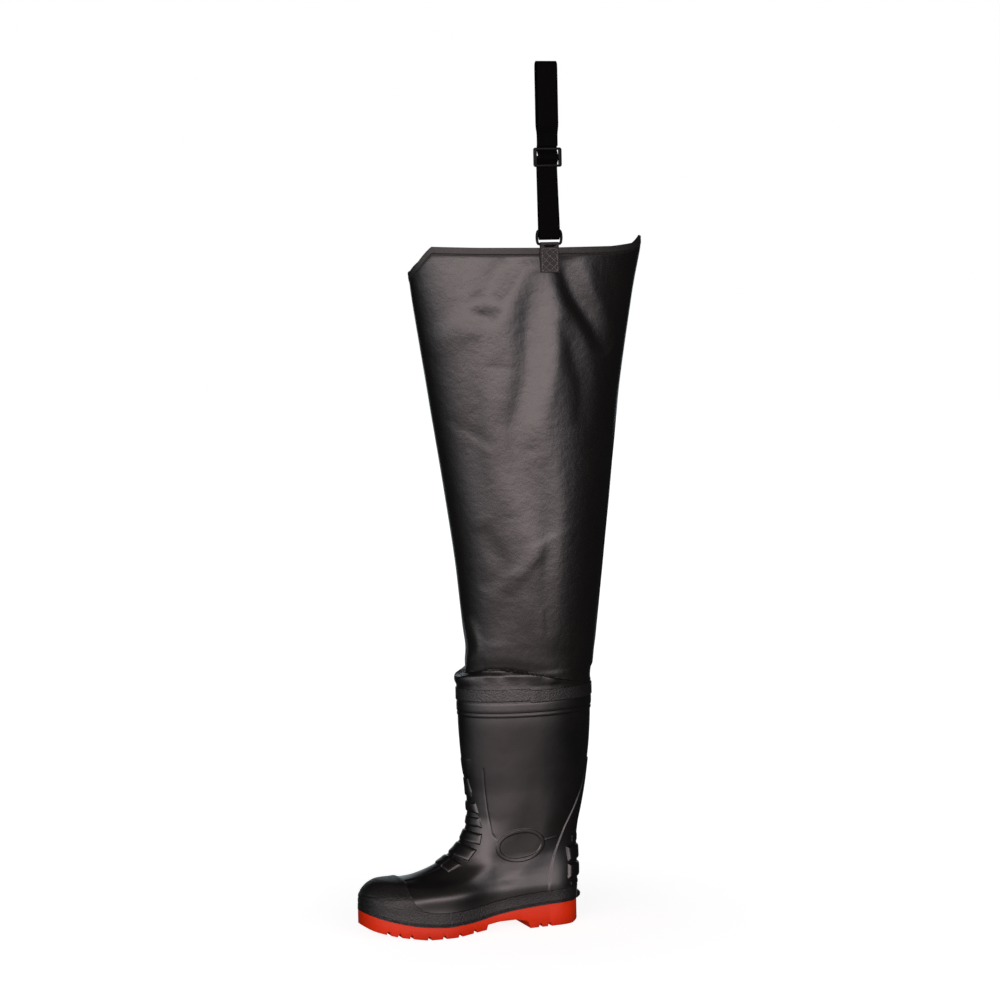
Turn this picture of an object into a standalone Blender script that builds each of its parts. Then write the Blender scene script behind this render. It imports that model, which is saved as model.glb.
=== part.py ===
"""Left hip wader: a moulded boot, a flared fabric leg and an adjustable belt-loop strap.

Frame: metres, +Z up, the toe points to -Y, the heel to +Y, and the outer side of the leg to +X.
The origin lies on the floor under the flat of the heel.
Reach is measured from the back of the heel towards the toe.
"""
from collections import namedtuple
import math

import bmesh
import bpy
from mathutils import Matrix
import numpy as np

# Boot: driving sizes
SOLE_LENGTH = 0.305
BALL_WIDTH = 0.103
HEEL_HEIGHT = 0.0305
BOOT_HEIGHT = 0.309
BOOT_WALL = 0.0024
LIP_HEIGHT = 0.014
TOE_LEAN = 0.008
HEEL_REST_REACH = 0.033

# Boot: steps in the wall
FOXING_HEIGHT = 0.019
FOXING_STEP = 0.001
COUNTER_STEP = 0.0007
PAD_STEP = 0.0022
KEEL_STEP = 0.0012
KEEL_WIDTH = 0.026
KEEL_SPAN = (0.63, 0.83)
RIB_STEP = 0.0042
SMALL_RIB_STEP = 0.002
SPUR_STEP = 0.0062
ANKLE_STEP = 0.0009
ANKLE_LENGTH = 0.069
ANKLE_HEIGHT = 0.044
ANKLE_TILT = math.radians(12)
ANKLE_BORDER = 0.0055
ROLL_HEIGHT = 0.019
ROLL_STEP = 0.0025
ROLL_GROOVE = 0.0011
UPPER_BEAD = 0.4
STEP_ROOT = 0.0006
ROOT_SHARE = 0.1

# Sole
SOLE_EDGE = 0.0014
LUG_DEPTH = 0.0034
LUG_SLOT = 0.0036
LUG_CHANNEL = 0.006
CHANNEL_SPAN = (0.50, 0.93)
SOLE_DRAFT = 0.0012

# Leg
LEG_HEIGHT = 0.6055
CLOTH = 0.0011
HEM_HEIGHT = 0.011
HEM_STEP = 0.0008
TAPE_HEIGHT = 0.0195
TAPE_THICKNESS = 0.0009

# Insole
INSOLE_THICKNESS = 0.003
INSOLE_PLAY = 0.0009

# Strap and what holds it
WEBBING_WIDTH = 0.0285
WEBBING = 0.0018
TAB_WIDTH = 0.026
TAB_WEBBING = 0.0015
TAB_SEWN = 0.033
STRAP_REACH = 0.0435
RING_WIDTH = 0.038
RING_HEIGHT = 0.0205
RING_WIRE = 0.0034
RING_RISE = 0.0135
SLIDER_WIDTH = 0.0395
SLIDER_HEIGHT = 0.0255
SLIDER_THICKNESS = 0.003
SLIDER_BAR = 0.0032
SLIDER_ROUND = 0.0009
SLIDER_RISE = 0.1185
JOIN_RISE = 0.133
JOIN_HEIGHT = 0.016
LOOP_HEIGHT = 0.112
LOOP_OPENING = 0.008
LOOP_SPREAD = 0.0105

# Hairline seams between joined forms are closed within this distance
SEAM = 0.00004

# Clearances
GAP = 0.0003
SLACK = 0.0005

# Resolution, the small step that slopes are measured over, where raised patches start in the first
# section, and the leg's rows as shares of LEG_HEIGHT
AROUND = 40
PLAN_STEPS = 56
PROFILE_STEPS = 26
SPRING_STEPS = 9
FOXING_STEPS = 13
ROUND_STEPS = 8
FOOT_ROWS = 7
SLOPE_STEP = 0.01
PATCH_START = 0.03
LEG_ROWS = (0.060, 0.072, 0.093, 0.137, 0.22, 0.33, 0.47, 0.62, 0.78, 0.90)

# Cutting forms reach past what they cut by this share of the sole's length
BEYOND = 0.06

# Heights as shares of HEEL_HEIGHT, reach as a share of SOLE_LENGTH
SoleLine = namedtuple("SoleLine", "reach height")
SOLE_TOP = [
    SoleLine(0.00, 1.00),
    SoleLine(0.12, 0.99),
    SoleLine(0.26, 0.92),
    SoleLine(0.33, 0.86),
    SoleLine(0.41, 0.75),
    SoleLine(0.48, 0.62),
    SoleLine(0.56, 0.52),
    SoleLine(0.65, 0.485),
    SoleLine(0.73, 0.54),
    SoleLine(0.81, 0.66),
    SoleLine(0.87, 0.80),
    SoleLine(0.94, 0.99),
    SoleLine(1.00, 1.20),
]
TOE_SPRING = [
    SoleLine(0.745, 0.00),
    SoleLine(0.81, 0.10),
    SoleLine(0.87, 0.20),
    SoleLine(0.93, 0.34),
    SoleLine(0.97, 0.45),
    SoleLine(1.00, 0.60),
]
# The underside from the flat of the forefoot back to the heel, with its arch and heel breast
UNDERSIDE = [
    SoleLine(0.610, 0.00),
    SoleLine(0.530, 0.08),
    SoleLine(0.468, 0.14),
    SoleLine(0.460, 0.36),
    SoleLine(0.405, 0.44),
    SoleLine(0.325, 0.455),
    SoleLine(0.278, 0.36),
    SoleLine(0.266, 0.28),
    SoleLine(0.258, 0.00),
    SoleLine(0.050, 0.00),
    SoleLine(0.018, 0.09),
    SoleLine(0.000, 0.20),
]
LUG_REACHES = (0.914, 0.870, 0.820, 0.742, 0.674, 0.599, 0.525, 0.209, 0.166)

# Sections of the upper, from the edge of the sole to the collar lip.
# Reach: share of SOLE_LENGTH. Rise: share of the height from the sole's edge to the rim.
# Half widths at the heel, waist, ball and toe: shares of BALL_WIDTH. Rounding: share of the section.
Section = namedtuple("Section", "front_reach front_rise back_reach back_rise heel waist ball toe "
                                "arch heel_round toe_round fullness sag")
SECTIONS = [
    Section(0.995, 0.000, 0.006, 0.000, 0.350, 0.370, 0.497, 0.475, 0.86, 0.14, 0.22, 2.3, 1.00),
    Section(0.992, 0.064, 0.002, 0.052, 0.345, 0.360, 0.485, 0.462, 0.86, 0.14, 0.22, 2.3, 1.00),
    Section(0.973, 0.114, -0.001, 0.084, 0.345, 0.358, 0.462, 0.440, 0.88, 0.15, 0.24, 2.3, 0.85),
    Section(0.915, 0.160, -0.002, 0.120, 0.342, 0.358, 0.430, 0.385, 0.90, 0.16, 0.27, 2.3, 0.60),
    Section(0.774, 0.170, -0.003, 0.171, 0.340, 0.365, 0.405, 0.365, 0.93, 0.19, 0.36, 2.3, 0.35),
    Section(0.636, 0.213, -0.003, 0.232, 0.345, 0.385, 0.395, 0.370, 0.96, 0.24, 0.38, 2.2, 0.15),
    Section(0.567, 0.262, -0.004, 0.293, 0.348, 0.400, 0.395, 0.370, 0.98, 0.30, 0.42, 2.2, 0.00),
    Section(0.515, 0.343, -0.013, 0.364, 0.365, 0.410, 0.405, 0.385, 1.00, 0.40, 0.46, 2.1, 0.00),
    Section(0.495, 0.435, -0.031, 0.447, 0.405, 0.418, 0.415, 0.405, 1.00, 0.46, 0.50, 2.0, 0.00),
    Section(0.499, 0.545, -0.051, 0.555, 0.430, 0.430, 0.430, 0.430, 1.00, 0.50, 0.50, 2.0, 0.00),
    Section(0.512, 0.655, -0.065, 0.662, 0.465, 0.465, 0.465, 0.465, 1.00, 0.50, 0.50, 2.0, 0.00),
    Section(0.523, 0.783, -0.078, 0.788, 0.515, 0.515, 0.515, 0.515, 1.00, 0.50, 0.50, 2.0, 0.00),
    Section(0.528, 0.912, -0.084, 0.914, 0.555, 0.555, 0.555, 0.555, 1.00, 0.50, 0.50, 2.0, 0.00),
    Section(0.527, 1.000, -0.085, 1.000, 0.563, 0.563, 0.563, 0.563, 1.00, 0.50, 0.50, 2.0, 0.00),
]
WIDTH_STATIONS = (0.12, 0.40, 0.68, 0.90)

# Sections of the leg above the rim. Rise: share of LEG_HEIGHT. Centre: share of SOLE_LENGTH.
# Depth and width: shares of the collar lip's own half depth and half width.
LegSection = namedtuple("LegSection", "rise centre depth width")
LEG_SECTIONS = [
    LegSection(0.000, 0.000, 1.000, 1.000),
    LegSection(0.045, 0.000, 1.000, 1.000),
    LegSection(0.060, -0.004, 0.992, 1.000),
    LegSection(0.072, -0.020, 0.972, 0.975),
    LegSection(0.093, -0.027, 0.964, 0.990),
    LegSection(0.137, -0.033, 0.979, 1.060),
    LegSection(0.233, -0.037, 1.040, 1.170),
    LegSection(0.315, -0.039, 1.100, 1.225),
    LegSection(0.451, -0.037, 1.218, 1.260),
    LegSection(0.672, -0.029, 1.414, 1.240),
    LegSection(0.891, -0.033, 1.650, 1.145),
    LegSection(1.000, -0.045, 1.767, 1.075),
]
# The hem's rise and fall around the leg: degrees from the front over the outer side, drop in shares
# of HEM_DIP
HemPoint = namedtuple("HemPoint", "degrees drop")
HEM_DIP = 0.030
HEM_LINE = [
    HemPoint(-180, -0.50),
    HemPoint(-160, 0.05),
    HemPoint(-130, 0.30),
    HemPoint(-90, 0.40),
    HemPoint(-60, 0.70),
    HemPoint(-30, 1.02),
    HemPoint(-8, 1.00),
    HemPoint(5, 0.88),
    HemPoint(18, 0.50),
    HemPoint(31, -0.14),
    HemPoint(60, -0.05),
    HemPoint(90, 0.00),
    HemPoint(130, -0.02),
    HemPoint(150, -0.15),
    HemPoint(168, -0.42),
    HemPoint(180, -0.50),
]

# Outlines of the raised pieces in side view. Reach: share of SOLE_LENGTH. Height: of BOOT_HEIGHT.
Corner = namedtuple("Corner", "reach height")
TOE_CAP_REAR = [
    Corner(0.818, 0.300),
    Corner(0.818, 0.265),
    Corner(0.819, 0.235),
    Corner(0.816, 0.205),
    Corner(0.809, 0.178),
    Corner(0.795, 0.150),
    Corner(0.764, 0.126),
]
COUNTER_FRONT = [
    Corner(-0.052, 0.720),
    Corner(-0.014, 0.593),
    Corner(0.030, 0.511),
    Corner(0.079, 0.428),
    Corner(0.115, 0.356),
    Corner(0.139, 0.301),
    Corner(0.159, 0.228),
    Corner(0.170, 0.160),
    Corner(0.178, 0.060),
]
PADS = [
    [Corner(0.56, 0.757), Corner(0.481, 0.751), Corner(0.479, 0.676), Corner(0.56, 0.672)],
    [Corner(0.56, 0.664), Corner(0.503, 0.664), Corner(0.490, 0.606), Corner(0.490, 0.584),
     Corner(0.56, 0.584)],
    [Corner(0.56, 0.568), Corner(0.479, 0.558), Corner(0.470, 0.514), Corner(0.56, 0.518)],
    [Corner(0.56, 0.503), Corner(0.466, 0.496), Corner(0.459, 0.453), Corner(0.56, 0.462)],
    [Corner(0.535, 0.442), Corner(0.461, 0.425), Corner(0.474, 0.380), Corner(0.535, 0.392)],
    [Corner(0.540, 0.384), Corner(0.490, 0.358), Corner(0.530, 0.312), Corner(0.605, 0.346),
     Corner(0.600, 0.384)],
    [Corner(0.615, 0.345), Corner(0.587, 0.322), Corner(0.560, 0.298), Corner(0.620, 0.272),
     Corner(0.650, 0.300), Corner(0.650, 0.345)],
]
SMALL_RIBS = [
    [Corner(0.040, 0.388), Corner(-0.090, 0.388), Corner(-0.090, 0.350), Corner(0.042, 0.350)],
    [Corner(0.060, 0.188), Corner(-0.090, 0.188), Corner(-0.090, 0.164), Corner(0.062, 0.164)],
]
HEEL_RIBS = [
    [Corner(0.074, 0.340), Corner(-0.090, 0.340), Corner(-0.090, 0.273), Corner(0.067, 0.273)],
    [Corner(0.068, 0.264), Corner(-0.090, 0.264), Corner(-0.090, 0.198), Corner(0.074, 0.198)],
]
SPUR = [
    Corner(0.026, 0.142),
    Corner(-0.012, 0.132),
    Corner(-0.025, 0.119),
    Corner(-0.025, 0.113),
    Corner(0.002, 0.1015),
    Corner(0.026, 0.1015),
]
ANKLE_CENTRE = Corner(0.295, 0.368)


def smooth_through(xs, ys, at):
    """Monotone cubic curve through the points, read at the given places."""
    xs = np.asarray(xs, float)
    ys = np.asarray(ys, float)
    at = np.clip(at, xs[0], xs[-1])
    run = np.diff(xs)
    slope = np.diff(ys) / run
    tangent = np.zeros(len(xs))
    tangent[0] = slope[0]
    tangent[-1] = slope[-1]
    for i in range(1, len(xs) - 1):
        if slope[i - 1] * slope[i] > 0:
            weight = (2 * run[i] + run[i - 1], run[i] + 2 * run[i - 1])
            tangent[i] = sum(weight) / (weight[0] / slope[i - 1] + weight[1] / slope[i])
    k = np.clip(np.searchsorted(xs, at, side="right") - 1, 0, len(run) - 1)
    t = (at - xs[k]) / run[k]
    value = (1 + 2 * t) * (1 - t) ** 2 * ys[k] + t ** 2 * (3 - 2 * t) * ys[k + 1]
    return value + run[k] * (t * (1 - t) ** 2 * tangent[k] - t ** 2 * (1 - t) * tangent[k + 1])


def column(table, name):
    return [getattr(row, name) for row in table]


def reach_to_y(reach):
    """Turns a reach in metres into a place along Y."""
    return HEEL_REST_REACH - reach


def rounding(share, length, power):
    """An end that closes like a superellipse over the given length, and is 1 past it."""
    near = 1 - np.clip(share / length, 0, 1)
    return (1 - near ** power) ** (1 / power)


def sole_top(reach):
    """Height of the sole's upper edge at a reach in metres."""
    share = np.asarray(reach) / SOLE_LENGTH
    return HEEL_HEIGHT * smooth_through(column(SOLE_TOP, "reach"), column(SOLE_TOP, "height"), share)


def section_values(level):
    """The columns of SECTIONS read at a fractional row number."""
    rows = np.arange(len(SECTIONS))
    return Section(*[smooth_through(rows, column(SECTIONS, name), level) for name in Section._fields])


def lean(reach):
    """The sole's centre line swings inwards towards the toe."""
    past_middle = np.clip(2 * np.asarray(reach) / SOLE_LENGTH - 1, 0, None)
    return -TOE_LEAN * past_middle ** 2


def upper_surface(level, turn):
    """Point of the upper: level is a row of SECTIONS, turn goes once around from the heel's back."""
    level, turn = np.broadcast_arrays(np.asarray(level, float), np.asarray(turn, float))
    top_level = len(SECTIONS) - 1
    row = section_values(np.clip(level, 0, top_level))
    angle = 2 * math.pi * turn
    share = (1 - np.cos(angle)) / 2
    back = row.back_reach * SOLE_LENGTH
    front = row.front_reach * SOLE_LENGTH
    reach = back + share * (front - back)
    ends = sole_top(np.array([0.0, SOLE_LENGTH]))
    heights = [ends[0] + row.back_rise * (BOOT_HEIGHT - ends[0]),
               ends[1] + row.front_rise * (BOOT_HEIGHT - ends[1])]
    chord = ends[0] + reach / SOLE_LENGTH * (ends[1] - ends[0])
    height = heights[0] + share * (heights[1] - heights[0]) + row.sag * (sole_top(reach) - chord)
    height = height + GAP + np.clip(level - top_level, 0, None) * LIP_HEIGHT
    inner = np.sin(angle) < 0
    arch = np.where(inner, row.arch, 1.0)
    widths = np.stack([row.heel, row.waist * arch, row.ball, row.toe])
    half = station_width(widths, share) * BALL_WIDTH
    half = half * rounding(share, row.heel_round, row.fullness)
    half = half * rounding(1 - share, row.toe_round, row.fullness)
    x = np.where(inner, -half, half) + lean(reach)
    return np.stack([x, reach_to_y(reach), height], axis=-1)


def station_width(widths, share):
    """Half width between the stations, blended with a smooth step, level past the outer ones."""
    value = widths[0]
    for i in range(1, len(WIDTH_STATIONS)):
        run = WIDTH_STATIONS[i] - WIDTH_STATIONS[i - 1]
        t = np.clip((share - WIDTH_STATIONS[i - 1]) / run, 0, 1)
        value = value + (widths[i] - widths[i - 1]) * t * t * (3 - 2 * t)
    return value


def upper_grid(levels, grow, around=AROUND):
    """Rings of points of the upper, moved outwards along its own normal."""
    turn = np.arange(around) / around
    level, turn = np.meshgrid(levels, turn, indexing="ij")
    point = upper_surface(level, turn)
    below = np.maximum(level - SLOPE_STEP, 0)
    along = upper_surface(level + SLOPE_STEP, turn) - upper_surface(below, turn)
    twist = upper_surface(level, turn + SLOPE_STEP) - upper_surface(level, turn - SLOPE_STEP)
    normal = np.cross(along, twist)
    normal /= np.linalg.norm(normal, axis=-1, keepdims=True)
    moved = point + grow * normal
    if levels[0] == 0:
        flat = normal[0, :, :2] / np.linalg.norm(normal[0, :, :2], axis=-1, keepdims=True)
        moved[0, :, :2] = point[0, :, :2] + grow * flat
        moved[0, :, 2] = sole_top(HEEL_REST_REACH - moved[0, :, 1]) + GAP
    return moved


def leg_base():
    """Centre, half depth and half width of the outside of the collar lip."""
    last = SECTIONS[-1]
    centre = (last.front_reach + last.back_reach) / 2 * SOLE_LENGTH
    depth = (last.front_reach - last.back_reach) / 2 * SOLE_LENGTH
    return centre, depth, last.waist * BALL_WIDTH


def leg_ring(rise, angle, grow):
    """Point of the leg at a height over the rim; angle is from the front over the outer side."""
    centre, depth, width = leg_base()
    share = rise / LEG_HEIGHT
    rows = column(LEG_SECTIONS, "rise")
    share = np.clip(share, rows[0], rows[-1])
    middle = centre + SOLE_LENGTH * smooth_through(rows, column(LEG_SECTIONS, "centre"), share)
    half_depth = depth * smooth_through(rows, column(LEG_SECTIONS, "depth"), share) + grow
    half_width = width * smooth_through(rows, column(LEG_SECTIONS, "width"), share) + grow
    reach = middle + half_depth * np.cos(angle)
    x = half_width * np.sin(angle)
    return np.stack([x, reach_to_y(reach), BOOT_HEIGHT + rise], axis=-1)


def hem_rise(angle):
    """Height of the leg's top edge over the rim."""
    degrees = np.degrees(np.arctan2(np.sin(angle), np.cos(angle)))
    drop = np.interp(degrees, column(HEM_LINE, "degrees"), column(HEM_LINE, "drop"))
    return LEG_HEIGHT - HEM_DIP * drop


def add_collection(name):
    collection = bpy.data.collections.new(name)
    bpy.context.scene.collection.children.link(collection)
    return collection


def add_material(name, colour, roughness, metallic):
    material = bpy.data.materials.new(name)
    material.use_nodes = True
    shader = material.node_tree.nodes["Principled BSDF"]
    shader.inputs["Base Color"].default_value = (*colour, 1.0)
    shader.inputs["Roughness"].default_value = roughness
    shader.inputs["Metallic"].default_value = metallic
    return material


def add_object(name, mesh, collection, material=None):
    thing = bpy.data.objects.new(name, mesh)
    collection.objects.link(thing)
    if material:
        mesh.materials.append(material)
    if collection.name == "cutters":
        thing.hide_render = True
        thing.display_type = "WIRE"
    return thing


def mesh_from_faces(name, points, faces):
    mesh = bpy.data.meshes.new(name)
    mesh.from_pydata([tuple(p) for p in points], [], faces)
    form = bmesh.new()
    form.from_mesh(mesh)
    bmesh.ops.recalc_face_normals(form, faces=form.faces)
    form.to_mesh(mesh)
    form.free()
    return mesh


def shell_mesh(name, outside, inside):
    """A closed wall between two grids of rings, open at its first and last ring."""
    rings, around = outside.shape[:2]
    points = np.concatenate([outside.reshape(-1, 3), inside.reshape(-1, 3)])
    offset = rings * around
    faces = []
    for j in range(around):
        k = (j + 1) % around
        for i in range(rings - 1):
            a, b = i * around, (i + 1) * around
            faces.append((a + j, a + k, b + k, b + j))
            faces.append((offset + a + k, offset + a + j, offset + b + j, offset + b + k))
        last = (rings - 1) * around
        faces.append((offset + j, offset + k, k, j))
        faces.append((last + j, last + k, offset + last + k, offset + last + j))
    return mesh_from_faces(name, points, faces)


def prism_mesh(name, outlines, low_x, high_x):
    """Side outlines in (y, z), carried across from low_x to high_x, in one mesh."""
    form = bmesh.new()
    for outline in outlines:
        low = [form.verts.new((low_x, y, z)) for y, z in outline]
        face = form.faces.new(low)
        grown = bmesh.ops.extrude_face_region(form, geom=[face])
        top = [item for item in grown["geom"] if isinstance(item, bmesh.types.BMVert)]
        bmesh.ops.translate(form, verts=top, vec=(high_x - low_x, 0, 0))
    bmesh.ops.recalc_face_normals(form, faces=form.faces)
    mesh = bpy.data.meshes.new(name)
    form.to_mesh(mesh)
    form.free()
    return mesh


def boolean(thing, cutter, operation):
    modifier = thing.modifiers.new(cutter.name, "BOOLEAN")
    modifier.operation = operation
    modifier.solver = "EXACT"
    modifier.object = cutter


def close_seams(thing):
    """Applies the modifiers and closes the hairline slivers that the joins leave."""
    bpy.context.view_layer.update()
    depsgraph = bpy.context.evaluated_depsgraph_get()
    mesh = bpy.data.meshes.new_from_object(thing.evaluated_get(depsgraph))
    form = bmesh.new()
    form.from_mesh(mesh)
    bmesh.ops.triangulate(form, faces=form.faces)
    bmesh.ops.remove_doubles(form, verts=form.verts, dist=SEAM)
    bmesh.ops.dissolve_degenerate(form, edges=form.edges, dist=SEAM)
    open_edges = [edge for edge in form.edges if len(edge.link_faces) < 2]
    bmesh.ops.holes_fill(form, edges=open_edges, sides=4)
    bmesh.ops.recalc_face_normals(form, faces=form.faces)
    form.to_mesh(mesh)
    form.free()
    thing.modifiers.clear()
    thing.data = mesh


def side_points(corners):
    return [(reach_to_y(c.reach * SOLE_LENGTH), c.height * BOOT_HEIGHT) for c in corners]


def foxing_outline():
    """Side view of the toe cap and the band along the sole's edge."""
    front = (1 + BEYOND) * SOLE_LENGTH
    back = -BEYOND * SOLE_LENGTH
    reaches = np.linspace(TOE_CAP_REAR[-1].reach * SOLE_LENGTH, back, FOXING_STEPS + 1)[1:]
    band = [(reach_to_y(r), sole_top(max(r, 0)) + FOXING_HEIGHT) for r in reaches]
    floor = -HEEL_HEIGHT
    closing = [(reach_to_y(back), floor), (reach_to_y(front), floor),
               (reach_to_y(front), TOE_CAP_REAR[0].height * BOOT_HEIGHT)]
    return side_points(TOE_CAP_REAR) + band + closing


def counter_outline():
    """Side view of everything behind the counter's front edge."""
    far = reach_to_y(-4 * BEYOND * SOLE_LENGTH)
    points = side_points(COUNTER_FRONT)
    return points + [(far, points[-1][1]), (far, points[0][1])]


def ellipse_outline(length, height):
    centre = side_points([ANKLE_CENTRE])[0]
    points = []
    for i in range(2 * ROUND_STEPS):
        angle = math.pi * i / ROUND_STEPS
        along = length / 2 * math.cos(angle)
        up = height / 2 * math.sin(angle)
        y = along * math.cos(ANKLE_TILT) - up * math.sin(ANKLE_TILT)
        z = along * math.sin(ANKLE_TILT) + up * math.cos(ANKLE_TILT)
        points.append((centre[0] + y, centre[1] + z))
    return points


def roll_outlines():
    """Two beads under the rim with a groove between them."""
    far = SOLE_LENGTH
    low = BOOT_HEIGHT - ROLL_HEIGHT
    middle = BOOT_HEIGHT - UPPER_BEAD * ROLL_HEIGHT
    bands = [(low, middle - ROLL_GROOVE / 2), (middle + ROLL_GROOVE / 2, BOOT_HEIGHT)]
    return [[(-far, a), (far, a), (far, b), (-far, b)] for a, b in bands]


def raised_piece(name, cutters, levels, step, outlines, low_x, high_x):
    """A patch of the grown upper, cut out by side outlines; a higher step is rooted deeper."""
    root = -STEP_ROOT - ROOT_SHARE * step
    band = shell_mesh(name, upper_grid(levels, step), upper_grid(levels, root))
    patch = add_object(name, band, cutters)
    mask = add_object(name + "_outline", prism_mesh(name + "_outline", outlines, low_x, high_x), cutters)
    boolean(patch, mask, "INTERSECT")
    return patch


def make_upper(parts, cutters, material):
    top = len(SECTIONS) - 1
    levels = np.concatenate([np.linspace(0, FOOT_ROWS, 2 * FOOT_ROWS + 1),
                             np.arange(FOOT_ROWS + 1, top + 2)])
    wall = shell_mesh("boot_upper", upper_grid(levels, 0.0), upper_grid(levels, -BOOT_WALL))
    upper = add_object("boot_upper", wall, parts, material)
    foot = np.concatenate([[PATCH_START], levels[(levels > 0) & (levels <= FOOT_ROWS)]])
    whole = np.concatenate([[PATCH_START], levels[(levels > 0) & (levels <= top)]])
    side = BALL_WIDTH
    pieces = [
        raised_piece("foxing", cutters, foot, FOXING_STEP, [foxing_outline()], -side, side),
        raised_piece("counter", cutters, whole, COUNTER_STEP, [counter_outline()], -side, side),
        raised_piece("pads", cutters, whole[FOOT_ROWS:], PAD_STEP, [side_points(p) for p in PADS],
                     -side, side),
        raised_piece("small_ribs", cutters, whole, SMALL_RIB_STEP, [side_points(r) for r in SMALL_RIBS],
                     -side, side),
        raised_piece("ribs", cutters, whole, RIB_STEP, [side_points(r) for r in HEEL_RIBS], -side, side),
        raised_piece("spur", cutters, foot, SPUR_STEP, [side_points(SPUR)], -side, side),
        raised_piece("rim_roll", cutters, levels[levels > top - 2], ROLL_STEP, roll_outlines(), -side, side),
    ]
    low, high = 2 * HEEL_HEIGHT, BOOT_HEIGHT / 2
    back, front = [reach_to_y(share * SOLE_LENGTH) for share in KEEL_SPAN]
    keel = [(back, low), (back, high), (front, high), (front, low)]
    pieces.append(raised_piece("keel", cutters, foot, KEEL_STEP, [keel], -KEEL_WIDTH / 2, KEEL_WIDTH / 2))
    ankle = raised_piece("ankle_ring", cutters, whole, ANKLE_STEP,
                         [ellipse_outline(ANKLE_LENGTH, ANKLE_HEIGHT)], -side, side)
    hole = prism_mesh("ankle_field", [ellipse_outline(ANKLE_LENGTH - 2 * ANKLE_BORDER,
                                                      ANKLE_HEIGHT - 2 * ANKLE_BORDER)], -side, side)
    boolean(ankle, add_object("ankle_field", hole, cutters), "DIFFERENCE")
    pieces.append(ankle)
    for piece in pieces:
        boolean(upper, piece, "UNION")
    close_seams(upper)
    return upper


def plan_outline(grow):
    """The sole's outline seen from above, moved outwards."""
    turn = np.arange(PLAN_STEPS) / PLAN_STEPS
    point = upper_surface(0.0, turn)[:, :2]
    twist = upper_surface(0.0, turn + SLOPE_STEP)[:, :2] - upper_surface(0.0, turn - SLOPE_STEP)[:, :2]
    normal = np.stack([twist[:, 1], -twist[:, 0]], axis=-1)
    normal /= -np.linalg.norm(normal, axis=-1, keepdims=True)
    return point + grow * normal


def side_profile():
    """Side view of the sole: its upper edge, toe spring, forefoot, arch and heel."""
    over = BEYOND * SOLE_LENGTH / 2
    top_reach = np.linspace(0, SOLE_LENGTH, PROFILE_STEPS + 1)
    top = [(reach_to_y(r), float(sole_top(r))) for r in top_reach]
    spring_reach = np.linspace(TOE_SPRING[-1].reach, TOE_SPRING[0].reach, SPRING_STEPS + 1)
    spring = smooth_through(column(TOE_SPRING, "reach"), column(TOE_SPRING, "height"), spring_reach)
    under = [(reach_to_y(r * SOLE_LENGTH), h * HEEL_HEIGHT) for r, h in zip(spring_reach, spring)]
    under += [(reach_to_y(row.reach * SOLE_LENGTH), row.height * HEEL_HEIGHT) for row in UNDERSIDE]
    back = (top[0][0] + over, top[0][1])
    front = (top[-1][0] - over, top[-1][1])
    toe_tip = (under[0][0] - over, under[0][1] + over)
    heel_tip = (under[-1][0] + over, under[-1][1])
    return [back] + top + [front, toe_tip] + under + [heel_tip]


def loft_between(name, low, high, low_z, high_z):
    """A prism with draft between two outlines of the same number of points."""
    count = len(low)
    points = [(*p, low_z) for p in low] + [(*p, high_z) for p in high]
    faces = [tuple(reversed(range(count))), tuple(range(count, 2 * count))]
    faces += [(i, (i + 1) % count, count + (i + 1) % count, count + i) for i in range(count)]
    return mesh_from_faces(name, points, faces)


def make_outsole(parts, cutters, material):
    """The sole: its side profile kept inside its plan outline, with slots between the lugs."""
    side = BALL_WIDTH
    sole = add_object("outsole", prism_mesh("outsole", [side_profile()], -side, side), parts, material)
    plan = loft_between("sole_plan", plan_outline(SOLE_EDGE - SOLE_DRAFT), plan_outline(SOLE_EDGE),
                        -HEEL_HEIGHT, 2 * HEEL_HEIGHT)
    boolean(sole, add_object("sole_plan", plan, cutters), "INTERSECT")
    bottom = [(reach_to_y(row.reach * SOLE_LENGTH), row.height * HEEL_HEIGHT)
              for row in reversed(TOE_SPRING)]
    bottom += [(reach_to_y(row.reach * SOLE_LENGTH), row.height * HEEL_HEIGHT) for row in UNDERSIDE]
    line_y = [p[0] for p in bottom]
    line_z = [p[1] for p in bottom]
    slots = []
    for reach in LUG_REACHES:
        y = reach_to_y(reach * SOLE_LENGTH)
        floor = float(np.interp(y, line_y, line_z))
        near, far = y - LUG_SLOT / 2, y + LUG_SLOT / 2
        slots.append([(near, floor - LUG_SLOT), (far, floor - LUG_SLOT), (far, floor + LUG_DEPTH),
                      (near, floor + LUG_DEPTH)])
    lugs = add_object("lug_slots", prism_mesh("lug_slots", slots, -side, side), cutters)
    boolean(sole, lugs, "DIFFERENCE")
    run = [reach_to_y(share * SOLE_LENGTH) for share in np.linspace(*CHANNEL_SPAN, SPRING_STEPS)]
    under = [(y, float(np.interp(y, line_y, line_z))) for y in run]
    channel = [(y, z - LUG_SLOT) for y, z in under] + [(y, z + LUG_DEPTH) for y, z in reversed(under)]
    groove = prism_mesh("lug_channel", [channel], -LUG_CHANNEL / 2, LUG_CHANNEL / 2)
    boolean(sole, add_object("lug_channel", groove, cutters), "DIFFERENCE")
    return sole


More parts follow.
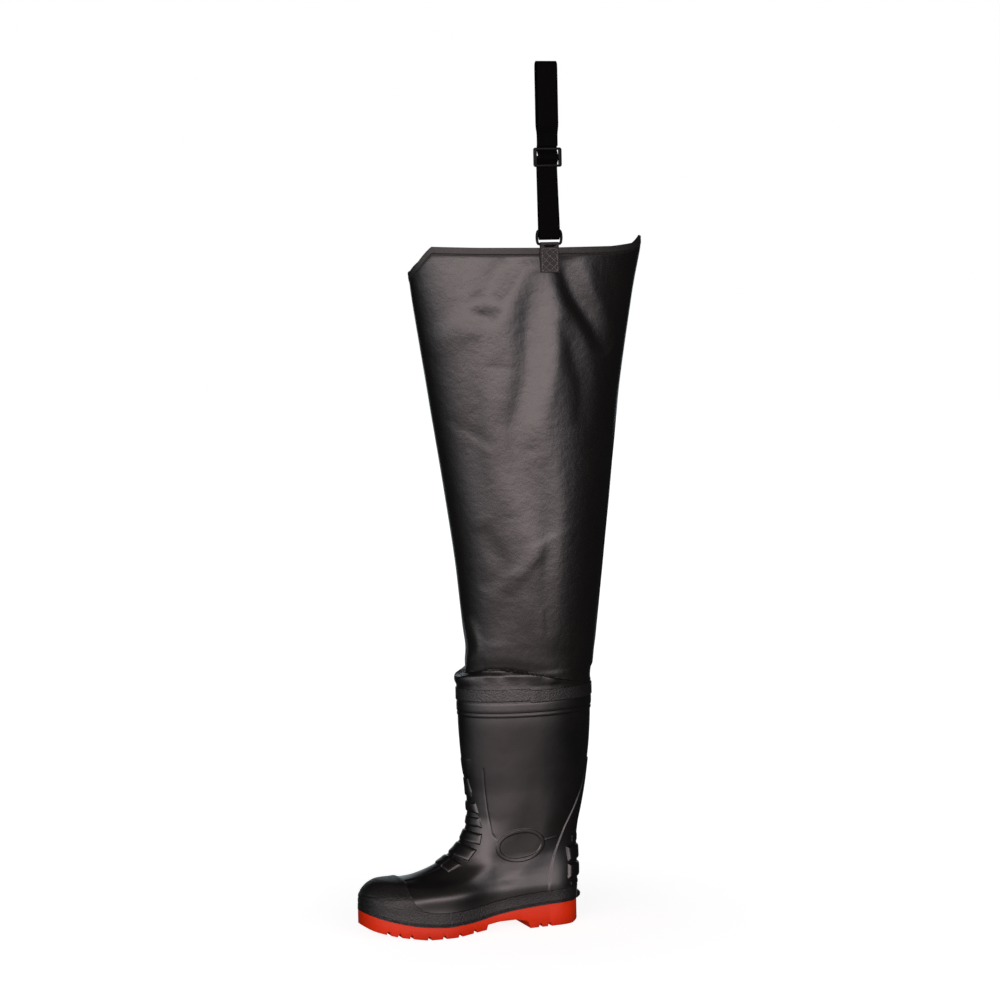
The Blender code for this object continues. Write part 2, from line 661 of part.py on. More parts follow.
def make_insole(parts, material):
    """A footbed that follows the sole's upper side inside the wall."""
    edge = upper_grid(np.array([0.0]), -(BOOT_WALL + INSOLE_PLAY))[0]
    bottom = edge.copy()
    top = edge.copy()
    bottom[:, 2] = sole_top(HEEL_REST_REACH - edge[:, 1]) + GAP
    top[:, 2] = bottom[:, 2] + INSOLE_THICKNESS
    count = len(edge)
    points = np.concatenate([bottom, top])
    faces = [(i, (i + 1) % count, count + (i + 1) % count, count + i) for i in range(count)]
    half = count // 2
    for offset in (0, count):
        faces.append((offset, offset + 1, offset + count - 1))
        faces.append((offset + half, offset + half - 1, offset + half + 1))
        for i in range(1, half - 1):
            faces.append((offset + i, offset + i + 1, offset + count - i - 1, offset + count - i))
    return add_object("insole", mesh_from_faces("insole", points, faces), parts, material)


def make_leg(parts, material):
    """The fabric tube, from just over the rim roll to the hem."""
    angle = 2 * math.pi * np.arange(AROUND) / AROUND
    inner = GAP
    outer = GAP + CLOTH
    shares = [GAP / LEG_HEIGHT, TAPE_HEIGHT / LEG_HEIGHT, *LEG_ROWS]
    rises = [np.full(AROUND, share * LEG_HEIGHT) for share in shares]
    top = hem_rise(angle)
    rises += [top - HEM_HEIGHT - HEM_STEP, top - HEM_HEIGHT, top]
    grows = [outer] * (len(shares) + 1) + [outer + HEM_STEP] * 2
    outside = np.stack([leg_ring(rise, angle, grow) for rise, grow in zip(rises, grows)])
    inside = np.stack([leg_ring(rise, angle, inner) for rise in rises])
    return add_object("leg_shaft", shell_mesh("leg_shaft", outside, inside), parts, material)


def make_tape(parts, material):
    """The tape around the joint of leg and boot."""
    angle = 2 * math.pi * np.arange(AROUND) / AROUND
    inner = 2 * GAP + CLOTH
    outer = inner + TAPE_THICKNESS
    rises = [np.full(AROUND, rise) for rise in (GAP, TAPE_HEIGHT)]
    outside = np.stack([leg_ring(rise, angle, outer) for rise in rises])
    inside = np.stack([leg_ring(rise, angle, inner) for rise in rises])
    return add_object("joint_tape", shell_mesh("joint_tape", outside, inside), parts, material)


def strap_place():
    """Where the strap stands: X of its middle plane, its Y and the height of the hem below it."""
    centre, depth, _ = leg_base()
    middle = centre + LEG_SECTIONS[-1].centre * SOLE_LENGTH
    angle = math.acos((STRAP_REACH - middle) / (depth * LEG_SECTIONS[-1].depth))
    rise = float(hem_rise(angle))
    side = leg_ring(np.array([rise]), np.array([angle]), GAP + CLOTH + HEM_STEP)[0]
    return float(side[0]) + GAP + TAB_WEBBING, reach_to_y(STRAP_REACH), BOOT_HEIGHT + rise, angle


def arc(centre, radius, start, end, steps=ROUND_STEPS):
    """Points of an arc in the XZ plane, angles in degrees from +X."""
    angles = np.radians(np.linspace(start, end, steps + 1))
    return [(centre[0] + radius * math.cos(a), centre[1] + radius * math.sin(a)) for a in angles]


def add_ribbon(name, path, middle_y, collection, material=None):
    """Webbing along a path in the XZ plane: an open strip, thickened about its middle."""
    form = bmesh.new()
    rows = []
    for x, z in path:
        rows.append([form.verts.new((x, middle_y + side * WEBBING_WIDTH / 2, z)) for side in (-1, 1)])
    for near, far in zip(rows, rows[1:]):
        form.faces.new((near[0], near[1], far[1], far[0]))
    mesh = bpy.data.meshes.new(name)
    form.to_mesh(mesh)
    form.free()
    ribbon = add_object(name, mesh, collection, material)
    modifier = ribbon.modifiers.new("thickness", "SOLIDIFY")
    modifier.thickness = WEBBING
    modifier.offset = 0.0
    modifier.use_even_offset = True
    return ribbon


def add_box(name, size, place, collection, material=None):
    """A box of the given size about its own middle."""
    form = bmesh.new()
    bmesh.ops.create_cube(form, size=1.0, matrix=Matrix.Diagonal((*size, 1.0)))
    mesh = bpy.data.meshes.new(name)
    form.to_mesh(mesh)
    form.free()
    box = add_object(name, mesh, collection, material)
    box.location = place
    return box


def slab_mesh(name, outline, middle_y, width):
    """An outline in (x, z), carried across in Y."""
    form = bmesh.new()
    low = [form.verts.new((x, middle_y - width / 2, z)) for x, z in outline]
    face = form.faces.new(low)
    grown = bmesh.ops.extrude_face_region(form, geom=[face])
    moved = [item for item in grown["geom"] if isinstance(item, bmesh.types.BMVert)]
    bmesh.ops.translate(form, verts=moved, vec=(0, width, 0))
    bmesh.ops.recalc_face_normals(form, faces=form.faces)
    mesh = bpy.data.meshes.new(name)
    form.to_mesh(mesh)
    form.free()
    return mesh


def make_tab(parts, cutters, material):
    """Webbing sewn to the leg, up around the ring's lower bar and down again."""
    x, y, hem, angle = strap_place()
    bar = (x, hem + RING_RISE - (RING_HEIGHT - RING_WIRE) / 2)
    bore = RING_WIRE / 2 + GAP
    radius = bore + TAB_WEBBING
    rises = [hem - TAB_SEWN, hem - HEM_HEIGHT - HEM_STEP - SLACK, hem - HEM_HEIGHT - SLACK, hem]
    steps = [0.0, 0.0, HEM_STEP, HEM_STEP]
    backing = []
    for rise, step in zip(rises, steps):
        grow = GAP + CLOTH + step + GAP
        point = leg_ring(np.array([rise - BOOT_HEIGHT]), np.array([angle]), grow)[0]
        backing.append((float(point[0]), float(point[2])))
    front = x + TAB_WEBBING
    outline = backing + arc(bar, radius, 180, 0) + [(front, hem), (front, rises[0])]
    tab = add_object("hanger_tab", slab_mesh("hanger_tab", outline, y, TAB_WIDTH), parts, material)
    hole = slab_mesh("tab_hole", arc(bar, bore, 0, 360)[:-1], y, 2 * TAB_WIDTH)
    boolean(tab, add_object("tab_hole", hole, cutters), "DIFFERENCE")
    return tab


def mesh_from_curve(name, curve, place, collection, material):
    """Turns a curve into a welded mesh object and removes the curve."""
    wire = bpy.data.objects.new(name + "_curve", curve)
    collection.objects.link(wire)
    wire.location = place
    bpy.context.view_layer.update()
    depsgraph = bpy.context.evaluated_depsgraph_get()
    mesh = bpy.data.meshes.new_from_object(wire.evaluated_get(depsgraph))
    form = bmesh.new()
    form.from_mesh(mesh)
    bmesh.ops.remove_doubles(form, verts=form.verts, dist=0.00001)
    bmesh.ops.recalc_face_normals(form, faces=form.faces)
    form.to_mesh(mesh)
    form.free()
    thing = add_object(name, mesh, collection, material)
    thing.matrix_world = wire.matrix_world
    bpy.data.objects.remove(wire)
    mesh.shade_smooth()
    return thing


def make_ring(parts, material):
    """A rounded wire ring that stands in the YZ plane."""
    x, y, hem, _ = strap_place()
    half_width = (RING_WIDTH - RING_WIRE) / 2
    half_height = (RING_HEIGHT - RING_WIRE) / 2
    curve = bpy.data.curves.new("ring", "CURVE")
    curve.dimensions = "3D"
    curve.bevel_depth = RING_WIRE / 2
    curve.bevel_resolution = 2
    spline = curve.splines.new("POLY")
    straight = WEBBING_WIDTH / 2 + SLACK
    bow = (half_width - straight) / half_height
    ends = [(straight + a * bow, b) for a, b in arc((0, 0), half_height, -90, 90)]
    ends += [(-a, -b) for a, b in ends]
    spline.points.add(len(ends) - 1)
    for point, (along, up) in zip(spline.points, ends):
        point.co = (0, along, up, 1)
    spline.use_cyclic_u = True
    return mesh_from_curve("ring", curve, (x, y, hem + RING_RISE), parts, material)


def make_slider(parts, cutters, material):
    """A flat buckle with two slots and rounded corners."""
    x, y, hem, _ = strap_place()
    height = hem + SLIDER_RISE
    slider = add_box("slider", (SLIDER_THICKNESS, SLIDER_WIDTH, SLIDER_HEIGHT), (x, y, height), parts,
                     material)
    bevel = slider.modifiers.new("corners", "BEVEL")
    bevel.width = SLIDER_ROUND
    bevel.segments = 2
    slot = (SLIDER_HEIGHT - 3 * SLIDER_BAR) / 2
    size = (3 * SLIDER_THICKNESS, WEBBING_WIDTH + 4 * SLACK, slot)
    for name, side in (("lower_slot", -1), ("upper_slot", 1)):
        cut = add_box(name, size, (x, y, height + side * (slot + SLIDER_BAR) / 2), cutters)
        boolean(slider, cut, "DIFFERENCE")
    return slider


def make_strap(parts, cutters, material):
    """Webbing: end behind the slider, around the ring, through the slider, up into the belt loop."""
    x, y, hem, _ = strap_place()
    bar = (x, hem + RING_RISE + (RING_HEIGHT - RING_WIRE) / 2)
    radius = RING_WIRE / 2 + SLACK + WEBBING / 2
    buckle = hem + SLIDER_RISE
    middle_bar = SLIDER_BAR / 2 + SLACK
    outer_bar = SLIDER_HEIGHT / 2 - SLIDER_BAR - SLACK
    behind = x - SLIDER_THICKNESS / 2 - GAP - WEBBING / 2
    before = x + SLIDER_THICKNESS / 2 + GAP + WEBBING / 2
    layer = WEBBING + GAP
    around_ring = arc(bar, radius, 180, 360)
    end = [(behind, buckle + middle_bar), (behind, buckle - middle_bar),
           (behind - layer, buckle - outer_bar), (behind - layer, buckle - SLIDER_HEIGHT / 2),
           (x - radius, bar[1] + 2 * radius)]
    rise = [(x + radius, bar[1] + 2 * radius), (behind, buckle - SLIDER_HEIGHT / 2 - WEBBING),
            (behind, buckle - outer_bar), (before, buckle - middle_bar),
            (before, buckle + middle_bar), (behind, buckle + outer_bar),
            (behind, buckle + SLIDER_HEIGHT / 2)]
    join = hem + JOIN_RISE
    spread = join + JOIN_HEIGHT + LOOP_SPREAD
    half = (LOOP_OPENING + WEBBING) / 2
    crown = arc((x, join + LOOP_HEIGHT - half - WEBBING / 2), half, 0, 180)
    right = [(x + layer / 2, join), (x + layer / 2, join + JOIN_HEIGHT), (x + half, spread)]
    left = [(x - half, spread), (x - layer / 2, join + JOIN_HEIGHT), (x - layer / 2, join)]
    strap = add_ribbon("strap", end + around_ring + rise + [(x - layer / 2, join)], y, parts, material)
    boolean(strap, add_ribbon("belt_loop", right + crown + left, y, cutters), "UNION")
    sewn = add_box("sewn_join", (2 * WEBBING, WEBBING_WIDTH - 2 * SLACK, JOIN_HEIGHT),
                   (x, y, join + JOIN_HEIGHT / 2), cutters)
    boolean(strap, sewn, "UNION")
    return strap


def build():
    for thing in list(bpy.data.objects):
        bpy.data.objects.remove(thing)
    parts = add_collection("hip_wader")
    cutters = add_collection("cutters")
    sole_red = add_material("sole_red", (0.72, 0.06, 0.02), 0.45, 0.0)
    boot_black = add_material("boot_black", (0.02, 0.02, 0.021), 0.32, 0.0)
    insole_grey = add_material("insole_grey", (0.12, 0.12, 0.12), 0.9, 0.0)
    leg_black = add_material("leg_black", (0.03, 0.028, 0.028), 0.42, 0.0)
    tape_black = add_material("tape_black", (0.03, 0.03, 0.03), 0.6, 0.0)
    webbing_black = add_material("webbing_black", (0.015, 0.015, 0.016), 0.8, 0.0)
    tab_black = add_material("tab_black", (0.05, 0.05, 0.05), 0.8, 0.0)
    ring_black = add_material("ring_black", (0.02, 0.02, 0.02), 0.3, 0.0)
    slider_black = add_material("slider_black", (0.02, 0.02, 0.02), 0.35, 0.0)
    make_outsole(parts, cutters, sole_red)
    make_upper(parts, cutters, boot_black)
    make_insole(parts, insole_grey)
    make_leg(parts, leg_black)
    make_tape(parts, tape_black)
    make_tab(parts, cutters, tab_black)
    make_ring(parts, ring_black)
    make_strap(parts, cutters, webbing_black)
    make_slider(parts, cutters, slider_black)


build()
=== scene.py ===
# %% [markdown]
# # A left hip wader
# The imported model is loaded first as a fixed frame. It has the right places and sizes, and plain
# surfaces. Every cell after this one makes one piece or one finish and lays it over the frame.
# %% Load the frame
import math

import bmesh
import bpy
import numpy as np
from mathutils import Matrix, Vector


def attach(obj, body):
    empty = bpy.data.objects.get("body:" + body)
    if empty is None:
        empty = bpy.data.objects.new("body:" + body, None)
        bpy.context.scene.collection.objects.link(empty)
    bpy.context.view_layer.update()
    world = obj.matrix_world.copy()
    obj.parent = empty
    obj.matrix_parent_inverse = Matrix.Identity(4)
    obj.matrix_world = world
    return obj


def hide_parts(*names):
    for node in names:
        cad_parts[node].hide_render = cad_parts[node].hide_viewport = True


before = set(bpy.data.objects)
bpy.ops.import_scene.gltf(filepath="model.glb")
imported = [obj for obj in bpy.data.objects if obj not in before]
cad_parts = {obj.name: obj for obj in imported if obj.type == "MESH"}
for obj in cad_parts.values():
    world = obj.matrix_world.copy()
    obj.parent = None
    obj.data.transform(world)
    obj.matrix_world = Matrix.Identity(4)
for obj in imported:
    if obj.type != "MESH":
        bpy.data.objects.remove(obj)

scene = bpy.context.scene
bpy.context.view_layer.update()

# %% [markdown]
# ## Camera
# A product photograph of tall footwear is taken from a few metres away with a long lens, so that
# upright lines stay upright. The toe is turned towards the lens, and the picture is rolled a bit.
# The camera's axes are worked out from its place and put straight into its matrix.
# %% Camera
AIM = Vector((0.0, -0.063, 0.578))
CAMERA_DISTANCE = 4.0
CAMERA_HEIGHT = 0.90
CAMERA_AZIMUTH = math.radians(70)
CAMERA_ROLL = math.radians(1.2)
FRAME_WIDTH = 1.344
SENSOR = 36.0

rise = math.asin((CAMERA_HEIGHT - AIM.z) / CAMERA_DISTANCE)
back = Vector((math.sin(CAMERA_AZIMUTH) * math.cos(rise),
               -math.cos(CAMERA_AZIMUTH) * math.cos(rise), math.sin(rise)))
right = Vector((0, 0, 1)).cross(back).normalized()
up = back.cross(right)
turned = [right * math.cos(CAMERA_ROLL) - up * math.sin(CAMERA_ROLL),
          right * math.sin(CAMERA_ROLL) + up * math.cos(CAMERA_ROLL), back]
camera = bpy.data.objects.new("camera", bpy.data.cameras.new("camera"))
scene.collection.objects.link(camera)
camera.data.sensor_width = SENSOR
camera.data.lens = SENSOR * CAMERA_DISTANCE / FRAME_WIDTH
axes = Matrix(turned).transposed()
camera.matrix_world = Matrix.Translation(AIM + back * CAMERA_DISTANCE) @ axes.to_4x4()
scene.camera = camera
print("lens", round(camera.data.lens, 1), "mm at", [round(v, 3) for v in camera.location])

# %% [markdown]
# ## Shader sums
# A material is easier to read as arithmetic. `Signal` wraps one socket of a node, and its operators
# add Math nodes. `Tree` makes every other kind of node, and `Finish` is the tree of one material.
# %% Signal, Tree and Finish
class Signal:
    """One output socket that can stand in a sum."""

    def __init__(self, tree, socket):
        self.tree = tree
        self.socket = socket

    def __add__(self, other):
        return self.tree.sum("ADD", self, other)

    def __sub__(self, other):
        return self.tree.sum("SUBTRACT", self, other)

    def __mul__(self, other):
        return self.tree.sum("MULTIPLY", self, other)

    def __rsub__(self, other):
        return self.tree.sum("SUBTRACT", other, self)

    def __lt__(self, other):
        return self.tree.sum("LESS_THAN", self, other)

    __radd__ = __add__
    __rmul__ = __mul__


class Tree:
    """The nodes of a material or of the world."""

    def __init__(self, node_tree):
        self.nodes = node_tree.nodes
        self.links = node_tree.links

    def node(self, kind, inputs, output=0, **settings):
        """Adds a node: its settings first, then the values or signals of its sockets."""
        node = self.nodes.new(kind)
        stops = settings.pop("stops", None)
        for name, value in settings.items():
            setattr(node, name, value)
        if stops:
            made = node.color_ramp.elements
            for i, (place, level) in enumerate(stops):
                stop = made[i] if i < 2 else made.new(place)
                stop.position = place
                stop.color = grey(level)
        for key, value in inputs.items():
            self.feed(node.inputs[key], value)
        return Signal(self, node.outputs[output])

    def feed(self, socket, value):
        if isinstance(value, Signal):
            self.links.new(value.socket, socket)
        else:
            socket.default_value = value

    def sum(self, operation, first, second):
        return self.node("ShaderNodeMath", {0: first, 1: second}, operation=operation)

    def call(self, operation, value):
        return self.node("ShaderNodeMath", {0: value}, operation=operation)

    def blend(self, share, low, high):
        """A colour between two colours."""
        return self.node("ShaderNodeMix", {"Factor": share, 6: low, 7: high}, output=2,
                         data_type="RGBA")

    def place(self):
        return self.node("ShaderNodeTexCoord", {}, output="Object")

    def uv(self, name="UVMap"):
        return self.node("ShaderNodeUVMap", {}, uv_map=name)

    def attribute(self, name):
        return self.node("ShaderNodeAttribute", {}, output="Fac", attribute_name=name)

    def split(self, vector, axis):
        return self.node("ShaderNodeSeparateXYZ", {"Vector": vector}, output=axis)

    def noise(self, vector, scale, detail=2.0, rough=0.5, squeeze=(1, 1, 1)):
        squeezed = self.node("ShaderNodeVectorMath", {0: vector, 1: squeeze}, operation="MULTIPLY")
        return self.node("ShaderNodeTexNoise",
                         {"Vector": squeezed, "Scale": scale, "Detail": detail, "Roughness": rough})

    def cells(self, vector, scale):
        return self.node("ShaderNodeTexVoronoi", {"Vector": vector, "Scale": scale},
                         output="Distance", feature="SMOOTH_F1")

    def ramp(self, value, *stops):
        return self.node("ShaderNodeValToRGB", {"Fac": value}, stops=stops)

    def facing(self, vector, azimuth):
        """1 towards an azimuth, 0 at right angles to it, -1 away from it."""
        way = (math.sin(azimuth), -math.cos(azimuth), 0.0)
        return self.node("ShaderNodeVectorMath", {0: vector, 1: way}, output="Value",
                         operation="DOT_PRODUCT")

    def bump(self, height, depth, normal=None):
        inputs = {"Height": height, "Distance": depth}
        if normal is not None:
            inputs["Normal"] = normal
        return self.node("ShaderNodeBump", inputs)


class Finish(Tree):
    """A material with one Principled shader."""

    def __init__(self, name):
        self.material = bpy.data.materials.new(name)
        self.material.use_nodes = True
        super().__init__(self.material.node_tree)
        self.shader = self.nodes["Principled BSDF"]

    def surface(self, **inputs):
        """Sets the shader's sockets; an underscore stands for a space."""
        for name, value in inputs.items():
            socket = name.replace("_", " ").title().replace("Ior", "IOR")
            self.feed(self.shader.inputs[socket], value)
        return self.material


def grey(level, warm=0.0):
    """A near-grey colour; warm lifts red over blue."""
    return (level * (1 + warm), level, level * (1 - warm), 1.0)


# %% [markdown]
# ## Names for the wader's sizes
# The moulded boot, the leg and the strap keep the sizes that the model was built with. They are
# repeated here because the fine surfaces are worked out again from the same sections.
# %% Sizes
SOLE_LENGTH = 0.305
BALL_WIDTH = 0.103
HEEL_HEIGHT = 0.0305
BOOT_HEIGHT = 0.309
BOOT_WALL = 0.0024
LIP_HEIGHT = 0.014
TOE_LEAN = 0.008
HEEL_REST_REACH = 0.033
FOXING_HEIGHT = 0.019
GAP = 0.0003
LEG_HEIGHT = 0.6055
CLOTH = 0.0011
TAPE_HEIGHT = 0.0195
TAPE_THICKNESS = 0.0009
HEM_HEIGHT = 0.011
HEM_DIP = 0.030
SLOPE_STEP = 0.01

# Columns: front reach and rise, back reach and rise, half widths at heel, waist, ball and toe,
# arch, heel round, toe round, fullness, sag.
SECTIONS = np.array([
    (0.995, 0.000, 0.006, 0.000, 0.350, 0.370, 0.497, 0.475, 0.86, 0.14, 0.22, 2.3, 1.00),
    (0.992, 0.064, 0.002, 0.052, 0.345, 0.360, 0.485, 0.462, 0.86, 0.14, 0.22, 2.3, 1.00),
    (0.973, 0.114, -0.001, 0.084, 0.345, 0.358, 0.462, 0.440, 0.88, 0.15, 0.24, 2.3, 0.85),
    (0.915, 0.160, -0.002, 0.120, 0.342, 0.358, 0.430, 0.385, 0.90, 0.16, 0.27, 2.3, 0.60),
    (0.774, 0.170, -0.003, 0.171, 0.340, 0.365, 0.405, 0.365, 0.93, 0.19, 0.36, 2.3, 0.35),
    (0.636, 0.213, -0.003, 0.232, 0.345, 0.385, 0.395, 0.370, 0.96, 0.24, 0.42, 2.2, 0.15),
    (0.567, 0.262, -0.004, 0.293, 0.348, 0.400, 0.395, 0.370, 0.98, 0.30, 0.43, 2.2, 0.00),
    (0.515, 0.343, -0.013, 0.364, 0.365, 0.410, 0.405, 0.385, 1.00, 0.40, 0.42, 2.1, 0.00),
    (0.495, 0.435, -0.031, 0.447, 0.405, 0.418, 0.415, 0.405, 1.00, 0.46, 0.40, 2.0, 0.00),
    (0.499, 0.545, -0.051, 0.555, 0.430, 0.430, 0.430, 0.430, 1.00, 0.50, 0.43, 2.0, 0.00),
    (0.512, 0.655, -0.065, 0.662, 0.465, 0.465, 0.465, 0.465, 1.00, 0.50, 0.46, 2.0, 0.00),
    (0.523, 0.783, -0.078, 0.788, 0.515, 0.515, 0.515, 0.515, 1.00, 0.50, 0.50, 2.0, 0.00),
    (0.528, 0.912, -0.084, 0.914, 0.555, 0.555, 0.555, 0.555, 1.00, 0.50, 0.50, 2.0, 0.00),
    (0.527, 1.000, -0.085, 1.000, 0.563, 0.563, 0.563, 0.563, 1.00, 0.50, 0.50, 2.0, 0.00),
])
WIDTH_STATIONS = (0.12, 0.40, 0.68, 0.90)
# Reach as a share of the sole's length, height as a share of the heel's
SOLE_TOP = np.array([(0.00, 1.00), (0.12, 0.99), (0.26, 0.92), (0.33, 0.86), (0.41, 0.75),
                     (0.48, 0.62), (0.56, 0.52), (0.65, 0.485), (0.73, 0.54), (0.81, 0.66),
                     (0.87, 0.80), (0.94, 0.99), (1.00, 1.20)])
# Rise, centre, depth and width of the leg
LEG_SECTIONS = np.array([
    (0.000, 0.000, 1.000, 1.000), (0.045, 0.000, 1.000, 1.000), (0.060, -0.004, 0.992, 1.000),
    (0.072, -0.020, 0.972, 0.975), (0.093, -0.027, 0.964, 0.990), (0.137, -0.033, 0.979, 1.060),
    (0.233, -0.037, 1.040, 1.170), (0.315, -0.039, 1.100, 1.225), (0.451, -0.037, 1.218, 1.260),
    (0.672, -0.029, 1.414, 1.240), (0.891, -0.033, 1.650, 1.145), (1.000, -0.045, 1.767, 1.075),
])
# Degrees from the front over the outer side, and the drop of the hem there
HEM_LINE = np.array([(-180, -0.50), (-160, 0.05), (-130, 0.30), (-90, 0.40), (-60, 0.70),
                     (-30, 1.02), (-8, 1.00), (5, 0.88), (18, 0.50), (31, -0.14), (60, -0.05),
                     (90, 0.00), (130, -0.02), (150, -0.15), (168, -0.42), (180, -0.50)])
TOP_LEVEL = len(SECTIONS) - 1


# %% [markdown]
# ## Curves, and the boot's surface as a function
# A boot last is described by sections. `boot_surface` gives the point for a section number and a
# turn around the boot, so a grid of any fineness can be laid on it.
# %% Curves and surfaces
def curve_through(xs, ys, at):
    """Monotone cubic curve through the points, read at the given places."""
    run = np.diff(xs)
    slope = np.diff(ys) / run
    tangent = np.zeros(len(xs))
    tangent[0], tangent[-1] = slope[0], slope[-1]
    for i in range(1, len(xs) - 1):
        if slope[i - 1] * slope[i] > 0:
            ahead, behind = 2 * run[i] + run[i - 1], run[i] + 2 * run[i - 1]
            tangent[i] = (ahead + behind) / (ahead / slope[i - 1] + behind / slope[i])
    at = np.clip(at, xs[0], xs[-1])
    k = np.clip(np.searchsorted(xs, at, side="right") - 1, 0, len(run) - 1)
    t = (at - xs[k]) / run[k]
    value = (1 + 2 * t) * (1 - t) ** 2 * ys[k] + t ** 2 * (3 - 2 * t) * ys[k + 1]
    return value + run[k] * (t * (1 - t) ** 2 * tangent[k] - t ** 2 * (1 - t) * tangent[k + 1])


def ease(low, high, value):
    """0 up to low, 1 past high, and smooth in between."""
    t = np.clip((value - low) / (high - low), 0, 1)
    return t * t * (3 - 2 * t)


def hump(value, centre, width):
    """1 at the centre, falling off smoothly on both sides."""
    return np.exp(-((value - centre) / width) ** 2)


def sole_top(reach):
    share = np.asarray(reach) / SOLE_LENGTH
    return HEEL_HEIGHT * curve_through(SOLE_TOP[:, 0], SOLE_TOP[:, 1], share)


def rounding(share, length, power):
    near = 1 - np.clip(share / length, 0, 1)
    return (1 - near ** power) ** (1 / power)


def boot_surface(level, turn):
    """Point of the boot: level is a row of SECTIONS, turn goes once around from the heel's back."""
    level, turn = np.broadcast_arrays(np.asarray(level, float), np.asarray(turn, float))
    rows = np.arange(len(SECTIONS))
    held = np.clip(level, 0, TOP_LEVEL)
    (front, front_rise, back_end, back_rise, heel, waist, ball, toe,
     arch, heel_round, toe_round, fullness, sag) = [curve_through(rows, column, held)
                                                    for column in SECTIONS.T]
    angle = 2 * math.pi * turn
    share = (1 - np.cos(angle)) / 2
    reach = (back_end + share * (front - back_end)) * SOLE_LENGTH
    ends = sole_top(np.array([0.0, SOLE_LENGTH]))
    low = ends[0] + back_rise * (BOOT_HEIGHT - ends[0])
    high = ends[1] + front_rise * (BOOT_HEIGHT - ends[1])
    chord = ends[0] + reach / SOLE_LENGTH * (ends[1] - ends[0])
    height = low + share * (high - low) + sag * (sole_top(reach) - chord)
    height = height + GAP + np.clip(level - TOP_LEVEL, 0, None) * LIP_HEIGHT
    inner = np.sin(angle) < 0
    widths = [heel, waist * np.where(inner, arch, 1.0), ball, toe]
    half = widths[0]
    for i in range(1, len(widths)):
        change = ease(WIDTH_STATIONS[i - 1], WIDTH_STATIONS[i], share)
        half = half + (widths[i] - widths[i - 1]) * change
    half = half * BALL_WIDTH * rounding(share, heel_round, fullness)
    half = half * rounding(1 - share, toe_round, fullness)
    y = HEEL_REST_REACH - reach
    half = half + np.abs(np.sin(angle)) * side_swell(y, height)
    swing = -TOE_LEAN * np.clip(2 * reach / SOLE_LENGTH - 1, 0, None) ** 2
    return np.stack([np.where(inner, -half, half) + swing, y, height], axis=-1)


# How far the sides stand out or sink in, and at what height
SWELL, SWELL_RISE = 0.0025, 0.055
INSTEP_HOLLOW, INSTEP_RISE = 0.0050, 0.090
ANKLE_HOLLOW, ANKLE_RISE = 0.0062, 0.105


def side_swell(y, z):
    """The foot swells just over the foxing and is hollow under the ankle and beside the instep."""
    forefoot = 1 + 1.2 * ease(-0.105, -0.145, y)
    instep = ease(-0.200, -0.160, y) * ease(-0.050, -0.095, y)
    heel = ease(-0.130, -0.045, y)
    ankle_width = np.where(z < ANKLE_RISE, 0.024, 0.055)
    swell = SWELL * forefoot * hump(z, SWELL_RISE, 0.0125)
    hollow = INSTEP_HOLLOW * instep * hump(z, INSTEP_RISE, 0.023)
    return swell - hollow - ANKLE_HOLLOW * heel * hump(z, ANKLE_RISE, ankle_width)


def outward(surface, first, second):
    """Unit normals of a surface function of two numbers, by differences."""
    low, high = np.maximum(first - SLOPE_STEP, 0), first + SLOPE_STEP
    along = surface(high, second) - surface(low, second)
    twist = surface(first, second + SLOPE_STEP) - surface(first, second - SLOPE_STEP)
    normal = np.cross(along, twist)
    return normal / np.linalg.norm(normal, axis=-1, keepdims=True)


def grown_boot(level, turn, grow):
    """The boot's surface moved outwards; its lowest row stays on the sole."""
    point = boot_surface(level, turn)
    normal = outward(boot_surface, level, turn)
    moved = point + np.asarray(grow)[..., None] * normal
    lowest = level <= 0
    moved[lowest, 2] = sole_top(HEEL_REST_REACH - moved[lowest, 1]) + GAP
    return moved


LIP = SECTIONS[-1]
LEG_CENTRE = (LIP[0] + LIP[2]) / 2 * SOLE_LENGTH
LEG_DEPTH = (LIP[0] - LIP[2]) / 2 * SOLE_LENGTH
LEG_WIDTH = LIP[5] * BALL_WIDTH


def leg_point(rise, angle, grow):
    """Point of the leg at a height over the rim; angle is from the front over the outer side."""
    middle, depth, width = [curve_through(LEG_SECTIONS[:, 0], c, rise / LEG_HEIGHT)
                            for c in LEG_SECTIONS.T[1:]]
    reach = LEG_CENTRE + SOLE_LENGTH * middle + (LEG_DEPTH * depth + grow) * np.cos(angle)
    x = (LEG_WIDTH * width + grow) * np.sin(angle)
    return np.stack([x, HEEL_REST_REACH - reach, BOOT_HEIGHT + rise], axis=-1)


def hem_rise(angle):
    degrees = np.degrees(np.arctan2(np.sin(angle), np.cos(angle)))
    return LEG_HEIGHT - HEM_DIP * np.interp(degrees, HEM_LINE[:, 0], HEM_LINE[:, 1])


# %% [markdown]
# ## Grids, walls and finished objects
# A rubber wall or a cloth tube is a grid rolled into a tube. The grid comes from one operator, and
# each of its corners is then put on the surface function. A second, coarser grid makes the inside,
# and bridging the two open ends closes the wall.
# %% Grids, walls and objects
def flat_places(form):
    """The corners of a flat grid as shares across and up."""
    flat = np.array([corner.co for corner in form.verts]) + 0.5
    return flat[:, 0], flat[:, 1]


